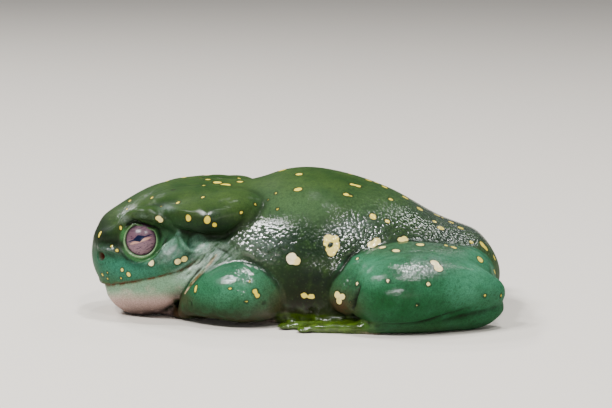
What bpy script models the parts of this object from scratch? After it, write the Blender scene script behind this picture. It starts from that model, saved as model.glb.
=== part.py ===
# Magnificent tree frog at rest, life size, head along -X and left side along -Y.
# The trunk is one loft of rounded sections; glands, lids, lips and limbs are lofts along
# bent paths. Limbs press into the trunk, so each neighbour is carved by a slightly fat
# copy of them, which leaves the same thin gap everywhere.

import math

import bmesh
import bpy
import numpy as np
from mathutils import Vector

# Driving dimensions, in millimetres; METRE turns them into Blender's unit at the end.
METRE = 0.001
GAP = 0.3              # space left between touching nodes
EYE_RADIUS = 4.8
LID_RADIUS = 3.75      # half the opening between the lids
LID_HEIGHT = 3.1       # of the lids' rim over the eye's middle, along its axis
LID_THICKNESS = 0.75   # radius of the rolled rim
OPENING_DEPTH = 12.0   # of the borer that clears the lids' opening
TYMPANUM_RADIUS = 2.7
TYMPANUM_DEPTH = 1.6
EAR_MARGIN = 3.0       # how far the eardrum's hollow runs outwards past it
NOSTRIL_RADII = (0.75, 0.95, 0.7)
NOSTRIL_RIM = (0.95, 0.5)      # radius of the ring round a nostril, and of its roll
TOE_DISC = 2.2         # radius of a toe disc
FINGER_DISC = 2.1
DISC_THICKNESS = 1.6
DISC_SINK = 0.05       # discs are pressed this far into the floor's level
WEB_THICKNESS = 0.9

# Places on the left side, measured from the snout tip, the middle plane and the floor.
EYE_AT = (13.3, -12.3, 19.4)
EYE_AXIS = (-0.16, -0.97, 0.10)
NOSTRIL_AT = (2.4, -4.9, 14.4)
NOSTRIL_AXIS = (-0.75, -0.66, 0.10)
TYMPANUM_AT = (26.4, -18.0, 19.3)
TYMPANUM_AXIS = (0.05, -0.95, 0.30)

# The trunk: heights of the back and belly, half widths, and the level of greatest width.
BACK = [(0.0, 20.1), (3.0, 23.4), (6.5, 25.9), (10.5, 28.4), (14, 30.2), (26, 32.2), (34, 32.0),
        (38, 31.9), (41.5, 32.7), (46, 34.2), (50, 34.8), (62, 33.2), (72, 29.6), (84, 23.1),
        (94, 19.2), (98.4, 16.8)]
BELLY = [(0.0, 9.5), (3.1, 6.4), (4.4, 4.4), (6.4, 1.8), (9, -0.4), (17, -0.4), (22, 3.1),
         (31, 3.3), (40, -0.8), (88, -0.8), (98.4, 4.0)]
HALF_WIDTH = [(0.0, 7.5), (3, 9.6), (8, 13.2), (14, 15.8), (22, 18.0), (32, 19.2), (44, 22.4),
              (56, 25.2), (68, 24.2), (80, 20.5), (90, 15.8), (98.4, 10.5)]
WIDEST_AT = [(0.0, 14.5), (5, 12.5), (12, 11.5), (22, 12.5), (34, 12), (56, 11), (80, 9.5),
             (98.4, 9)]
SNOUT_CAP = 3.0        # length over which the snout rounds off
RUMP_CAP = 7.0
UPPER_POWER = 2.2      # 2 is an ellipse, more is squarer
LOWER_POWER = [(0.0, 1.8), (20, 1.8), (28, 2.1), (40, 2.6), (98.4, 2.6)]

# Limbs and swellings of the left side: x, y, z, half width across, half height.
ROSTRAL_PAD = [(9.4, -12.6, 21.0, 1.8, 1.9), (5.2, -9.2, 19.2, 2.1, 2.4),
               (3.1, -4.6, 18.0, 2.3, 3.0), (2.8, 0.0, 17.8, 2.3, 3.3)]
BROW = [(7.4, -11.2, 21.2, 1.6, 1.6), (10.6, -13.2, 24.5, 2.1, 2.1),
        (13.8, -14.2, 25.6, 2.4, 2.2), (17.3, -14.8, 25.3, 2.6, 2.3),
        (21.7, -15.0, 24.6, 2.8, 2.6)]
GLAND = [(17.7, -13.5, 25.4, 2.5, 2.4), (21.6, -14.0, 25.0, 5.0, 3.9),
         (26.5, -13.8, 25.3, 6.9, 4.8), (31.4, -13.2, 25.9, 7.3, 5.2),
         (35.8, -12.6, 26.9, 6.7, 4.8), (39.4, -12.2, 27.7, 4.9, 3.7),
         (42.2, -11.6, 28.6, 2.2, 1.8)]
CROWN = [(14.0, -8.0, 25.4, 4.0, 3.0), (19.0, -8.8, 27.4, 5.0, 3.4),
         (25.0, -9.2, 28.2, 5.8, 3.5), (31.5, -9.2, 28.7, 5.8, 3.3),
         (37.5, -9.0, 28.2, 4.6, 2.6), (42.0, -8.8, 28.4, 2.4, 1.6)]
CHEEK = [(4.6, -8.6, 11.2, 1.8, 2.8), (8.8, -12.2, 12.0, 2.2, 3.0),
         (13.3, -14.8, 12.9, 2.4, 2.9), (17.7, -16.6, 14.2, 2.6, 2.9),
         (21.2, -17.5, 16.6, 2.3, 2.6), (23.0, -17.4, 20.6, 1.4, 1.6)]
THROAT_FOLD = [(30.0, -17.6, 19.0, 1.3, 1.2), (28.5, -18.4, 13.5, 1.4, 1.2),
               (26.0, -17.2, 8.5, 1.4, 1.2), (23.0, -13.8, 4.6, 1.2, 1.1)]
ORBIT_RADII = (6.3, 5.6, 5.7)
ORBIT_AT = (13.3, -11.2, 19.4)

ARM = [(22.6, -12.9, 3.0, 1.7, 1.9), (25.3, -15.2, 4.9, 3.4, 3.6),
       (28.6, -17.2, 6.5, 5.0, 5.3), (33.4, -18.8, 7.7, 6.6, 6.7),
       (38.0, -19.3, 7.8, 7.0, 7.3), (41.6, -19.3, 7.0, 6.7, 7.2)]
SHOULDER = [(40.4, -18.6, 7.8, 4.4, 4.8), (36.5, -16.6, 9.4, 5.2, 5.2),
            (33.0, -13.6, 11.0, 4.6, 4.6), (30.5, -11.0, 12.0, 3.8, 3.8)]
PALM = [(23.0, -12.8, 2.4, 2.3, 2.2), (23.7, -11.6, 1.9, 2.9, 1.8), (24.3, -10.6, 1.4, 3.4, 1.3)]
PALM_ROOTS = ((22.4, -10.8), (26.2, -10.8))      # first and last finger
FINGER_TIPS = [(19.2, -6.0), (22.2, -4.2), (26.4, -4.2), (30.2, -6.6)]

THIGH = [(91.8, -10.4, 9.6, 6.2, 6.6), (87.6, -15.4, 10.6, 8.0, 7.6),
         (80.5, -19.6, 11.3, 9.4, 8.4), (72.0, -22.0, 11.6, 9.3, 8.3),
         (66.0, -24.0, 10.4, 8.0, 7.6), (62.4, -25.3, 8.7, 6.2, 6.6)]
SHANK = [(64.0, -28.4, 8.3, 4.8, 5.7), (67.5, -29.0, 8.9, 6.5, 7.7),
         (73.5, -29.0, 9.3, 7.3, 8.7), (80.0, -27.9, 9.9, 7.1, 8.0),
         (87.0, -25.7, 10.0, 6.2, 6.5), (94.4, -22.8, 8.6, 4.4, 4.7)]
TARSUS = [(95.8, -21.6, 4.8, 2.6, 2.8), (91.5, -23.4, 3.6, 3.3, 3.4),
          (85.0, -26.0, 2.7, 3.7, 2.7), (79.0, -28.0, 2.1, 4.0, 2.1),
          (72.5, -28.4, 1.7, 4.3, 1.7), (66.5, -27.6, 1.4, 4.8, 1.4)]
TOE_ROOTS = ((69.0, -23.6), (69.0, -30.2))       # first and last toe
TOE_TIPS = [(61.5, -17.4), (55.5, -18.0), (49.8, -20.2), (48.0, -24.2), (52.4, -28.2)]
DIGIT_HEIGHTS = (1.2, 1.2, 1.0)                  # middle line at root, middle and tip
DIGIT_WIDTHS = (1.6, 1.35, 1.15)                 # half widths there
DIGIT_DEPTHS = (1.35, 1.35, 1.0)                 # half heights there
TOE_WEB = 0.74         # share of a toe's length that the web reaches
FINGER_WEB = 0.4
WEB_LEVEL = 0.7        # height of the web's middle
WEB_SCOOP = 0.14       # how far its edge dips between two digits, as a share of its reach

# The line of the mouth seen from the side, and where the cuts between nodes run.
MOUTH_LINE = [(-2, 6.9), (3, 7.3), (8, 8.7), (13, 10.0), (18, 11.4), (22, 12.6), (25, 14.4),
              (28.5, 18.0)]
JAW_FOOT_X = 25.0      # where the jaw's rear cut meets the floor
BELOW_JAW = -20.0
NECK_CUT = ((34.4, 18.0), (41.5, 34.0))
ELBOW_CUT = ((27.0, 16.0), (49.0, 5.2))
ANKLE_CUT_X = 78.0
CUT_REACH = 200.0      # half size of a cutting slab, larger than the frog
STEP = 0.2             # half the step over which a path's direction is measured
ROUND_END = 0.9        # length of a path's round end, as a share of its smaller radius

# How fine the fused forms are, and how often they are relaxed.
FLESH_GRAIN = 0.8
FLESH_PASSES = 4
FLESH_TRIANGLES = 3600
DIGIT_GRAIN = 0.4
DIGIT_PASSES = 3
FOOT_TRIANGLES = 1000
HAND_TRIANGLES = 640
SHARP_ANGLE = math.radians(45)

# Each slot's material: linear colour and roughness.
FINISHES = {
    "back_skin": ((0.045, 0.105, 0.022, 1.0), 0.30),
    "limb_skin": ((0.035, 0.165, 0.060, 1.0), 0.25),
    "jaw_skin": ((0.340, 0.360, 0.260, 1.0), 0.40),
    "ear_skin": ((0.060, 0.190, 0.110, 1.0), 0.35),
    "eye": ((0.200, 0.110, 0.120, 1.0), 0.08),
}


def material(name, colour, roughness):
    """A plain wet finish: skin and eye differ in colour and roughness alone."""
    made = bpy.data.materials.new(name)
    made.use_nodes = True
    shader = made.node_tree.nodes["Principled BSDF"]
    shader.inputs["Base Color"].default_value = colour
    shader.inputs["Roughness"].default_value = roughness
    shader.inputs["Metallic"].default_value = 0.0
    made.diffuse_color = colour
    return made


def smooth(table, at):
    """Cubic curve through the rows of table, whose first column is the position."""
    table = np.array(table, float)
    knots, values = table[:, 0], table[:, 1:]
    slopes = np.gradient(values, knots, axis=0)
    at = np.clip(np.atleast_1d(at), knots[0], knots[-1])
    i = np.clip(np.searchsorted(knots, at, side="right") - 1, 0, len(knots) - 2)
    span = (knots[i + 1] - knots[i])[:, None]
    t = ((at - knots[i]) / (knots[i + 1] - knots[i]))[:, None]
    blend_a = 2 * t**3 - 3 * t**2 + 1
    blend_b = t**3 - 2 * t**2 + t
    blend_c = 3 * t**2 - 2 * t**3
    blend_d = t**3 - t**2
    return (values[i] * blend_a + slopes[i] * blend_b * span
            + values[i + 1] * blend_c + slopes[i + 1] * blend_d * span)


def rounded(distance, reach):
    """0 at an end and 1 from reach on, rising like a quarter circle."""
    return np.sqrt(np.clip(1 - (1 - np.clip(distance / reach, 0, 1)) ** 2, 0, 1))


def add_object(name, bm):
    """Turns a finished bmesh, in millimetres, into a scene object in metres."""
    bmesh.ops.remove_doubles(bm, verts=bm.verts, dist=0.0005)
    bmesh.ops.recalc_face_normals(bm, faces=bm.faces)
    bmesh.ops.scale(bm, vec=(METRE, METRE, METRE), verts=bm.verts)
    mesh = bpy.data.meshes.new(name)
    bm.to_mesh(mesh)
    bm.free()
    obj = bpy.data.objects.new(name, mesh)
    bpy.context.scene.collection.objects.link(obj)
    return obj


def skin_rings(name, rings, first_pole, last_pole):
    """Closed surface over rings of equally many points, with a fan to each pole."""
    bm = bmesh.new()
    start = bm.verts.new(first_pole)
    loops = [[bm.verts.new(point) for point in ring] for ring in rings]
    end = bm.verts.new(last_pole)
    sides = len(loops[0])
    for k in range(sides):
        n = (k + 1) % sides
        bm.faces.new((start, loops[0][n], loops[0][k]))
        bm.faces.new((end, loops[-1][k], loops[-1][n]))
        for a, b in zip(loops, loops[1:]):
            bm.faces.new((a[k], a[n], b[n], b[k]))
    return add_object(name, bm)


def even_to_ends(count, crowd=0.35):
    """Positions from 0 to 1, closer together towards both ends."""
    u = np.linspace(0, 1, count + 2)[1:-1]
    return (1 - crowd) * u + crowd * (1 - np.cos(math.pi * u)) / 2


def trunk(name, rings=46, sides=36):
    """Head and body in one loft: a squarish dome over a flatter belly at each station."""
    first, last = BACK[0][0], BACK[-1][0]
    x = first + (last - first) * even_to_ends(rings, 0.6)
    cap = (rounded(x - first, SNOUT_CAP) * rounded(last - x, RUMP_CAP))[:, None]
    level = smooth(WIDEST_AT, x)
    up = (smooth(BACK, x) - level) * cap
    down = (level - smooth(BELLY, x)) * cap
    half = smooth(HALF_WIDTH, x) * cap
    angle = np.linspace(0, 2 * math.pi, sides, endpoint=False)[None, :]
    c, s = np.cos(angle), np.sin(angle)
    power = np.where(s > 0, UPPER_POWER, smooth(LOWER_POWER, x))
    y = half * np.sign(c) * np.abs(c) ** (2 / power)
    z = level + np.where(s > 0, up, down) * np.sign(s) * np.abs(s) ** (2 / power)
    rings_xyz = np.stack([np.repeat(x[:, None], sides, axis=1), y, z], axis=2)
    poles = [(px, 0.0, float(smooth(WIDEST_AT, px)[0, 0])) for px in (first, last)]
    return skin_rings(name, rings_xyz, *poles)


def tube(name, stations, side=1, fat=0.0, rings=14, sides=14):
    """Loft along a bent path with oval sections and round ends; side -1 mirrors it.

    fat grows it evenly, for the copy that carves the gap out of a neighbour.
    """
    table = np.array(stations, float)
    table[:, 1] *= side
    run = np.concatenate([[0], np.cumsum(np.linalg.norm(np.diff(table[:, :3], axis=0), axis=1))])
    lead = min(table[0, 3:]) * ROUND_END + fat
    tail = min(table[-1, 3:]) * ROUND_END + fat
    reach = even_to_ends(rings) * (run[-1] + lead + tail) - lead
    inside = smooth(np.column_stack([run, table]), reach)
    near = np.clip(reach, STEP, run[-1] - STEP)
    ahead = smooth(np.column_stack([run, table[:, :3]]), near + STEP)
    behind = smooth(np.column_stack([run, table[:, :3]]), near - STEP)
    along = ahead - behind
    along /= np.linalg.norm(along, axis=1, keepdims=True)
    over = reach - np.clip(reach, 0, run[-1])
    centre = inside[:, :3] + along * over[:, None]
    across = np.cross(along, (0.0, 0.0, 1.0))
    across /= np.linalg.norm(across, axis=1, keepdims=True)
    upward = np.cross(across, along)
    cap = rounded(reach + lead, 2 * lead) * rounded(run[-1] + tail - reach, 2 * tail)
    wide = ((inside[:, 3] + fat) * cap)[:, None, None]
    tall = ((inside[:, 4] + fat) * cap)[:, None, None]
    angle = np.linspace(0, 2 * math.pi, sides, endpoint=False)[None, :, None]
    rings_xyz = (centre[:, None, :] + np.cos(angle) * wide * across[:, None, :]
                 + np.sin(angle) * tall * upward[:, None, :])
    ends = (table[0, :3] - along[0] * lead, table[-1, :3] + along[-1] * tail)
    return skin_rings(name, rings_xyz, *ends)


def ellipsoid(name, at, radii, side=1, axis=None, segments=18):
    """A ball scaled to three radii, the last of them along axis."""
    bm = bmesh.new()
    bmesh.ops.create_uvsphere(bm, u_segments=segments, v_segments=segments // 2, radius=1.0)
    bmesh.ops.scale(bm, vec=radii, verts=bm.verts)
    if axis is not None:
        pointing = Vector((axis[0], axis[1] * side, axis[2]))
        turn = Vector((0, 0, 1)).rotation_difference(pointing.normalized())
        bmesh.ops.rotate(bm, matrix=turn.to_matrix(), verts=bm.verts)
    bmesh.ops.translate(bm, vec=(at[0], at[1] * side, at[2]), verts=bm.verts)
    return add_object(name, bm)


def rod(name, at, axis, radius, depth, side=1, segments=20):
    """A short cylinder centred on a point, with its length along axis."""
    bm = bmesh.new()
    bmesh.ops.create_cone(bm, cap_ends=True, segments=segments, radius1=radius,
                          radius2=radius, depth=depth)
    pointing = Vector((axis[0], axis[1] * side, axis[2])).normalized()
    turn = Vector((0, 0, 1)).rotation_difference(pointing)
    bmesh.ops.rotate(bm, matrix=turn.to_matrix(), verts=bm.verts)
    bmesh.ops.translate(bm, vec=(at[0], at[1] * side, at[2]), verts=bm.verts)
    return add_object(name, bm)


def ring_around(name, at, axis, ring_radius, tube_radius, side=1, around=22, sides=6):
    """A torus whose hole faces along axis."""
    angle = np.linspace(0, 2 * math.pi, around, endpoint=False)
    turn = np.linspace(0, 2 * math.pi, sides, endpoint=False)
    pointing = Vector((axis[0], axis[1] * side, axis[2])).normalized()
    spin = Vector((0, 0, 1)).rotation_difference(pointing).to_matrix()
    centre = Vector((at[0], at[1] * side, at[2]))
    bm = bmesh.new()
    loops = []
    for a in angle:
        loop = []
        for t in turn:
            reach = ring_radius + tube_radius * math.cos(t)
            local = Vector((reach * math.cos(a), reach * math.sin(a), tube_radius * math.sin(t)))
            loop.append(bm.verts.new(centre + spin @ local))
        loops.append(loop)
    for i in range(around):
        a, b = loops[i], loops[(i + 1) % around]
        for k in range(sides):
            n = (k + 1) % sides
            bm.faces.new((a[k], a[n], b[n], b[k]))
    return add_object(name, bm)


def prism(name, outline):
    """An outline in the side view (x, z) carried right through the frog along y."""
    bm = bmesh.new()
    corners = [bm.verts.new((x, -CUT_REACH, z)) for x, z in outline]
    face = bm.faces.new(corners)
    made = bmesh.ops.extrude_face_region(bm, geom=[face])
    moved = [v for v in made["geom"] if isinstance(v, bmesh.types.BMVert)]
    bmesh.ops.translate(bm, vec=(0, 2 * CUT_REACH, 0), verts=moved)
    bmesh.ops.triangulate(bm, faces=bm.faces)
    return add_object(name, bm)


def half_space(name, line, beyond, shift):
    """A block on one side of a line; beyond is the side it fills, +1 for its left."""
    a, b = Vector(line[0]), Vector(line[1])
    direction = (b - a).normalized()
    normal = Vector((-direction.y, direction.x)) * beyond
    low = a - direction * CUT_REACH + normal * shift
    high = b + direction * CUT_REACH + normal * shift
    return prism(name, [low, high, high + normal * CUT_REACH, low + normal * CUT_REACH])


def drop(*objects):
    for obj in objects:
        bpy.data.objects.remove(obj)


def applied(obj):
    """Bakes an object's modifiers into its mesh and keeps its largest closed surface."""
    bpy.context.view_layer.update()
    graph = bpy.context.evaluated_depsgraph_get()
    mesh = bpy.data.meshes.new_from_object(obj.evaluated_get(graph))
    obj.modifiers.clear()
    obj.data = mesh
    keep_largest(obj)
    return obj


def keep_largest(obj):
    """Drops every loose surface but the one with most faces."""
    bm = bmesh.new()
    bm.from_mesh(obj.data)
    seen, groups = set(), []
    for face in bm.faces:
        if face in seen:
            continue
        group, stack = [], [face]
        seen.add(face)
        while stack:
            current = stack.pop()
            group.append(current)
            for edge in current.edges:
                for other in edge.link_faces:
                    if other not in seen:
                        seen.add(other)
                        stack.append(other)
        groups.append(group)
    groups.sort(key=len)
    loose = [face for group in groups[:-1] for face in group]
    bmesh.ops.delete(bm, geom=loose, context="FACES")
    bm.to_mesh(obj.data)
    bm.free()


def combine(target, others, operation, solver="EXACT"):
    """One Boolean of target with a collection of closed meshes, which is then removed."""
    group = bpy.data.collections.new("operands")
    bpy.context.scene.collection.children.link(group)
    for other in others:
        group.objects.link(other)
    cut = target.modifiers.new(operation.lower(), "BOOLEAN")
    cut.operation = operation
    cut.operand_type = "COLLECTION"
    cut.collection = group
    cut.solver = solver
    applied(target)
    drop(*others)
    bpy.data.collections.remove(group)
    return target


def join(name, pieces):
    """Fuses closed pieces into one node."""
    body = combine(pieces[0], pieces[1:], "UNION")
    body.name = name
    return body


def copy_of(obj, name):
    made = bpy.data.objects.new(name, obj.data.copy())
    bpy.context.scene.collection.objects.link(made)
    return made


def soften(obj, voxel, passes, faces):
    """Rounds the inner corners where forms meet, then thins the mesh to a face count."""
    remesh = obj.modifiers.new("even skin", "REMESH")
    remesh.mode = "VOXEL"
    remesh.voxel_size = voxel * METRE
    relax = obj.modifiers.new("relax", "SMOOTH")
    relax.factor = 0.5
    relax.iterations = passes
    applied(obj)
    thin = obj.modifiers.new("thin", "DECIMATE")
    triangles = sum(len(face.vertices) - 2 for face in obj.data.polygons)
    thin.ratio = min(1.0, faces / triangles)
    return applied(obj)


def point_on_axis(at, axis, distance):
    a = Vector(axis).normalized()
    return tuple(Vector(at) + a * distance)


def head_and_body():
    """The whole flesh of head and trunk, before it is parted."""
    pieces = [trunk("flesh")]
    mirrored_pad = ROSTRAL_PAD + [(x, -y, z, w, h) for x, y, z, w, h in ROSTRAL_PAD[-2::-1]]
    pieces.append(tube("rostral_pad", mirrored_pad, rings=26))
    for side in (1, -1):
        pieces.append(tube("brow", BROW, side))
        pieces.append(tube("gland", GLAND, side, rings=20, sides=22))
        pieces.append(tube("crown", CROWN, side, rings=18, sides=18))
        pieces.append(tube("cheek", CHEEK, side))
        pieces.append(tube("fold", THROAT_FOLD, side, rings=14, sides=12))
        pieces.append(ellipsoid("orbit", ORBIT_AT, ORBIT_RADII, side))
    flesh = join("flesh", pieces)
    soften(flesh, FLESH_GRAIN, FLESH_PASSES, FLESH_TRIANGLES)
    lid_middle = point_on_axis(EYE_AT, EYE_AXIS, LID_HEIGHT)
    lids = [ring_around("lid", lid_middle, EYE_AXIS, LID_RADIUS + 0.6 * LID_THICKNESS,
                        LID_THICKNESS, side) for side in (1, -1)]
    rims = [ring_around("nostril_rim", NOSTRIL_AT, NOSTRIL_AXIS, *NOSTRIL_RIM, side, 14)
            for side in (1, -1)]
    return combine(flesh, lids + rims, "UNION", "MANIFOLD")


def arm(name, side, fat=0.0):
    """Upper arm and forearm folded together into one swelling, elbow to the rear."""
    return join(name, [tube("forearm_form", ARM, side, fat, 13, 14),
                       tube("shoulder_form", SHOULDER, side, fat, 8, 12)])


def spread(ends, share):
    """A point at a share of the way between two others."""
    (x0, y0), (x1, y1) = ends
    return x0 + (x1 - x0) * share, y0 + (y1 - y0) * share


def digit(root, tip, side, fat, disc):
    """A finger or toe: a tapering tube to a flat round disc half past its tip."""
    places = (root, spread((root, tip), 0.5), tip)
    path = [(*place, height, width, depth) for place, height, width, depth
            in zip(places, DIGIT_HEIGHTS, DIGIT_WIDTHS, DIGIT_DEPTHS)]
    heading = Vector((tip[0] - root[0], tip[1] - root[1])).normalized()
    centre = (tip[0] + heading.x * disc / 2, tip[1] + heading.y * disc / 2,
              DISC_THICKNESS / 2 - DISC_SINK)
    radii = (disc + fat, disc + fat, DISC_THICKNESS / 2 + fat)
    return [tube("digit", path, side, fat, 6, 10), ellipsoid("disc", centre, radii, side)]


def web(roots, tips, side, fat, share):
    """The thin skin between digits: it reaches each digit at a share of its length."""
    reached = [spread(pair, share) for pair in zip(roots, tips)]
    outline = [roots[0]]
    for k, corner in enumerate(reached):
        if k > 0:
            edge_middle = spread((reached[k - 1], corner), 0.5)
            root_middle = spread((roots[k - 1], roots[k]), 0.5)
            outline.append(spread((edge_middle, root_middle), WEB_SCOOP))
        outline.append(corner)
    outline += roots[:0:-1]
    middle = Vector(spread((roots[0], roots[-1]), 0.5))
    half = WEB_THICKNESS / 2 + fat
    bm = bmesh.new()
    rows = []
    for z in (WEB_LEVEL - half, WEB_LEVEL + half):
        ring = []
        for corner in outline:
            away = (Vector(corner) - middle).normalized() * fat
            ring.append(bm.verts.new((corner[0] + away.x, (corner[1] + away.y) * side, z)))
        rows.append(ring)
    bm.faces.new(rows[0])
    bm.faces.new(rows[1][::-1])
    for k in range(len(outline)):
        n = (k + 1) % len(outline)
        bm.faces.new((rows[0][k], rows[0][n], rows[1][n], rows[1][k]))
    bmesh.ops.triangulate(bm, faces=bm.faces)
    return add_object("web", bm)


def digits(base, roots_between, tips, disc, share, side, fat):
    """A palm or sole with its digits and their web, fused and softened like flesh."""
    last = len(tips) - 1
    roots = [spread(roots_between, k / last) for k in range(last + 1)]
    pieces = [base, web(roots, tips, side, fat, share)]
    for root, tip in zip(roots, tips):
        pieces += digit(root, tip, side, fat, disc)
    return join("digits", pieces)


def hand(side, fat=0.0):
    """Palm turned in under the chest, four fingers pointing to the middle."""
    fused = digits(tube("palm", PALM, side, fat, 8, 12), PALM_ROOTS, FINGER_TIPS,
                   FINGER_DISC, FINGER_WEB, side, fat)
    return soften(fused, DIGIT_GRAIN, DIGIT_PASSES, HAND_TRIANGLES)


def foot(side, fat=0.0):
    """Tarsus under the shank and five webbed toes pointing forward."""
    fused = digits(tube("tarsus_form", TARSUS, side, fat, 12, 14), TOE_ROOTS, TOE_TIPS,
                   TOE_DISC, TOE_WEB, side, fat)
    return soften(fused, DIGIT_GRAIN, DIGIT_PASSES, FOOT_TRIANGLES)


def finish(obj, node, slot):
    """Names the node, gives it its material and cuts it flat at the floor."""
    below = prism("floor", [(-CUT_REACH, 0), (CUT_REACH, 0), (CUT_REACH, -CUT_REACH),
                            (-CUT_REACH, -CUT_REACH)])
    combine(obj, [below], "DIFFERENCE", "MANIFOLD")
    obj.name = node
    obj.data.name = node
    obj.data.materials.clear()
    obj.data.materials.append(slot)
    obj.data.shade_smooth()
    obj.data.set_sharp_from_angle(angle=SHARP_ANGLE)
    return obj


def parted(obj, line):
    """Parts a solid by a thin cut along a line: first what lies to its left, then right."""
    right = copy_of(obj, "right_of_cut")
    combine(obj, [half_space("side", line, -1, -GAP / 2)], "DIFFERENCE", "MANIFOLD")
    combine(right, [half_space("side", line, 1, -GAP / 2)], "DIFFERENCE", "MANIFOLD")
    return obj, right


def grown(outline, amount):
    """Moves each corner of a clockwise outline outwards, so that its edges move by amount."""
    corners = [Vector(corner) for corner in outline]
    moved = []
    for k, corner in enumerate(corners):
        before = (corner - corners[k - 1]).normalized()
        after = (corners[(k + 1) % len(corners)] - corner).normalized()
        outward = Vector((-before.y - after.y, before.x + after.x)).normalized()
        share = max(0.3, outward.dot(Vector((-before.y, before.x))))
        moved.append(tuple(corner + outward * amount / share))
    return moved


def jaw_wedge(grow):
    """The space under the line of the mouth, closed behind by a cut down the throat."""
    corners = [(MOUTH_LINE[0][0], BELOW_JAW), *MOUTH_LINE, (JAW_FOOT_X, BELOW_JAW)]
    return prism("wedge", grown(corners, grow))


def eye_and_ear(side, word, slots):
    """Adds the eyeball and eardrum; returns the hollows of the head that hold them."""
    eye = ellipsoid("eye_form", EYE_AT, (EYE_RADIUS,) * 3, side, EYE_AXIS)
    drum = rod("drum", TYMPANUM_AT, TYMPANUM_AXIS, TYMPANUM_RADIUS, TYMPANUM_DEPTH, side)
    finish(eye, "eye_" + word, slots["eye"])
    finish(drum, "tympanum_" + word, slots["ear_skin"])
    ear_middle = point_on_axis(TYMPANUM_AT, TYMPANUM_AXIS, EAR_MARGIN / 2)
    return [
        ellipsoid("socket", EYE_AT, (EYE_RADIUS + GAP,) * 3, side, EYE_AXIS),
        rod("opening", point_on_axis(EYE_AT, EYE_AXIS, OPENING_DEPTH * 2 / 3), EYE_AXIS,
            LID_RADIUS, OPENING_DEPTH, side),
        rod("ear_hollow", ear_middle, TYMPANUM_AXIS, TYMPANUM_RADIUS + GAP,
            TYMPANUM_DEPTH + EAR_MARGIN + 2 * GAP, side),
        ellipsoid("nostril", NOSTRIL_AT, NOSTRIL_RADII, side, segments=12)]


def leg(side, word, slots):
    """Adds thigh, shank, tarsus and foot, each cut clear of what lies outside it."""
    shank = combine(tube("shank_form", SHANK, side, 0, 13, 16), [foot(side, GAP)], "DIFFERENCE")
    thigh = combine(tube("thigh_form", THIGH, side, 0, 13, 16),
                    [tube("shank_fat", SHANK, side, GAP, 13, 16)], "DIFFERENCE")
    combine(thigh, [foot(side, GAP)], "DIFFERENCE")
    toes, tarsus = parted(foot(side), ((ANKLE_CUT_X, 0), (ANKLE_CUT_X, 10)))
    finish(tarsus, "tarsus_" + word, slots["limb_skin"])
    finish(toes, "foot_" + word, slots["limb_skin"])
    finish(shank, "shank_" + word, slots["limb_skin"])
    finish(thigh, "thigh_" + word, slots["limb_skin"])
    return [tube("shank_fat", SHANK, side, GAP, 13, 16),
            tube("thigh_fat", THIGH, side, GAP, 13, 16), foot(side, GAP)]


def fore_limb(side, word, slots):
    """Adds upper arm, forearm and hand; returns fat copies that carve the body."""
    both = combine(arm("arm", side), [hand(side, GAP)], "DIFFERENCE")
    upper_arm, forearm = parted(both, ELBOW_CUT)
    finish(upper_arm, "upper_arm_" + word, slots["limb_skin"])
    finish(forearm, "forearm_" + word, slots["limb_skin"])
    finish(hand(side), "hand_" + word, slots["limb_skin"])
    return [arm("arm_fat", side, GAP), hand(side, GAP)]


def centre_on_origin():
    """Moves every node so that the frog's box is centred over the origin."""
    nodes = [obj for obj in bpy.data.objects if obj.type == "MESH"]
    reach = [vertex.co.x for node in nodes for vertex in node.data.vertices]
    for node in nodes:
        node.location.x = -(min(reach) + max(reach)) / 2


def build():
    for obj in list(bpy.data.objects):
        bpy.data.objects.remove(obj)
    slots = {name: material(name, *finish_of) for name, finish_of in FINISHES.items()}
    flesh = head_and_body()
    names = {1: "left", -1: "right"}
    hollows = []
    for side, word in names.items():
        hollows += eye_and_ear(side, word, slots)
    combine(flesh, hollows, "DIFFERENCE", "MANIFOLD")
    for side, word in names.items():
        for carver in leg(side, word, slots) + fore_limb(side, word, slots):
            combine(flesh, [carver], "DIFFERENCE", "MANIFOLD")

    head, torso = parted(flesh, NECK_CUT)
    jaw = combine(copy_of(head, "jaw"), [jaw_wedge(-GAP / 2)], "INTERSECT", "MANIFOLD")
    combine(head, [jaw_wedge(GAP / 2)], "DIFFERENCE", "MANIFOLD")
    finish(head, "head", slots["back_skin"])
    finish(torso, "torso", slots["back_skin"])
    finish(jaw, "lower_jaw", slots["jaw_skin"])
    centre_on_origin()


build()
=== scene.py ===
# Magnificent tree frog, dressed: one wet skin over all its flesh, and two eyes of their own.
# Shapes are worked out in millimetres from the snout tip and the floor, then set on the frame.

import math

import bmesh
import bpy
import numpy as np
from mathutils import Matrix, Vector
from mathutils.bvhtree import BVHTree


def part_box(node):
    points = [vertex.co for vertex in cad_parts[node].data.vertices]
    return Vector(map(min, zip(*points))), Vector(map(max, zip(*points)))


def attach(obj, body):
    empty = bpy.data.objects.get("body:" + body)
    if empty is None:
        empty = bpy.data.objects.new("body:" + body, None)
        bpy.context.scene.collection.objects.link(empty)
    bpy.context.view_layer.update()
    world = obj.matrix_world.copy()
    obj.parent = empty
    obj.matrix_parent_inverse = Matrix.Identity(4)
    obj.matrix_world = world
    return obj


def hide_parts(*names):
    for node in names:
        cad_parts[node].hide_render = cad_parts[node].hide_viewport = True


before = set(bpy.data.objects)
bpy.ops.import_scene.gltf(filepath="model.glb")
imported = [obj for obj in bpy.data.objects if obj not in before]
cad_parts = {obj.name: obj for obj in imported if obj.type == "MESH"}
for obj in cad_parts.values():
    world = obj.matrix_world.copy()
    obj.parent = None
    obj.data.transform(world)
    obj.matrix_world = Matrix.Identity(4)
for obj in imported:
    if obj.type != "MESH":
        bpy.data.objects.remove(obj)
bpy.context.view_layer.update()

metre = 0.001
farOff = 9.0        # stands for nowhere near, in mm or as a share
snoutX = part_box("head")[0][0] / metre - 0.1      # the tables' zero, in the frame's millimetres
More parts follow.
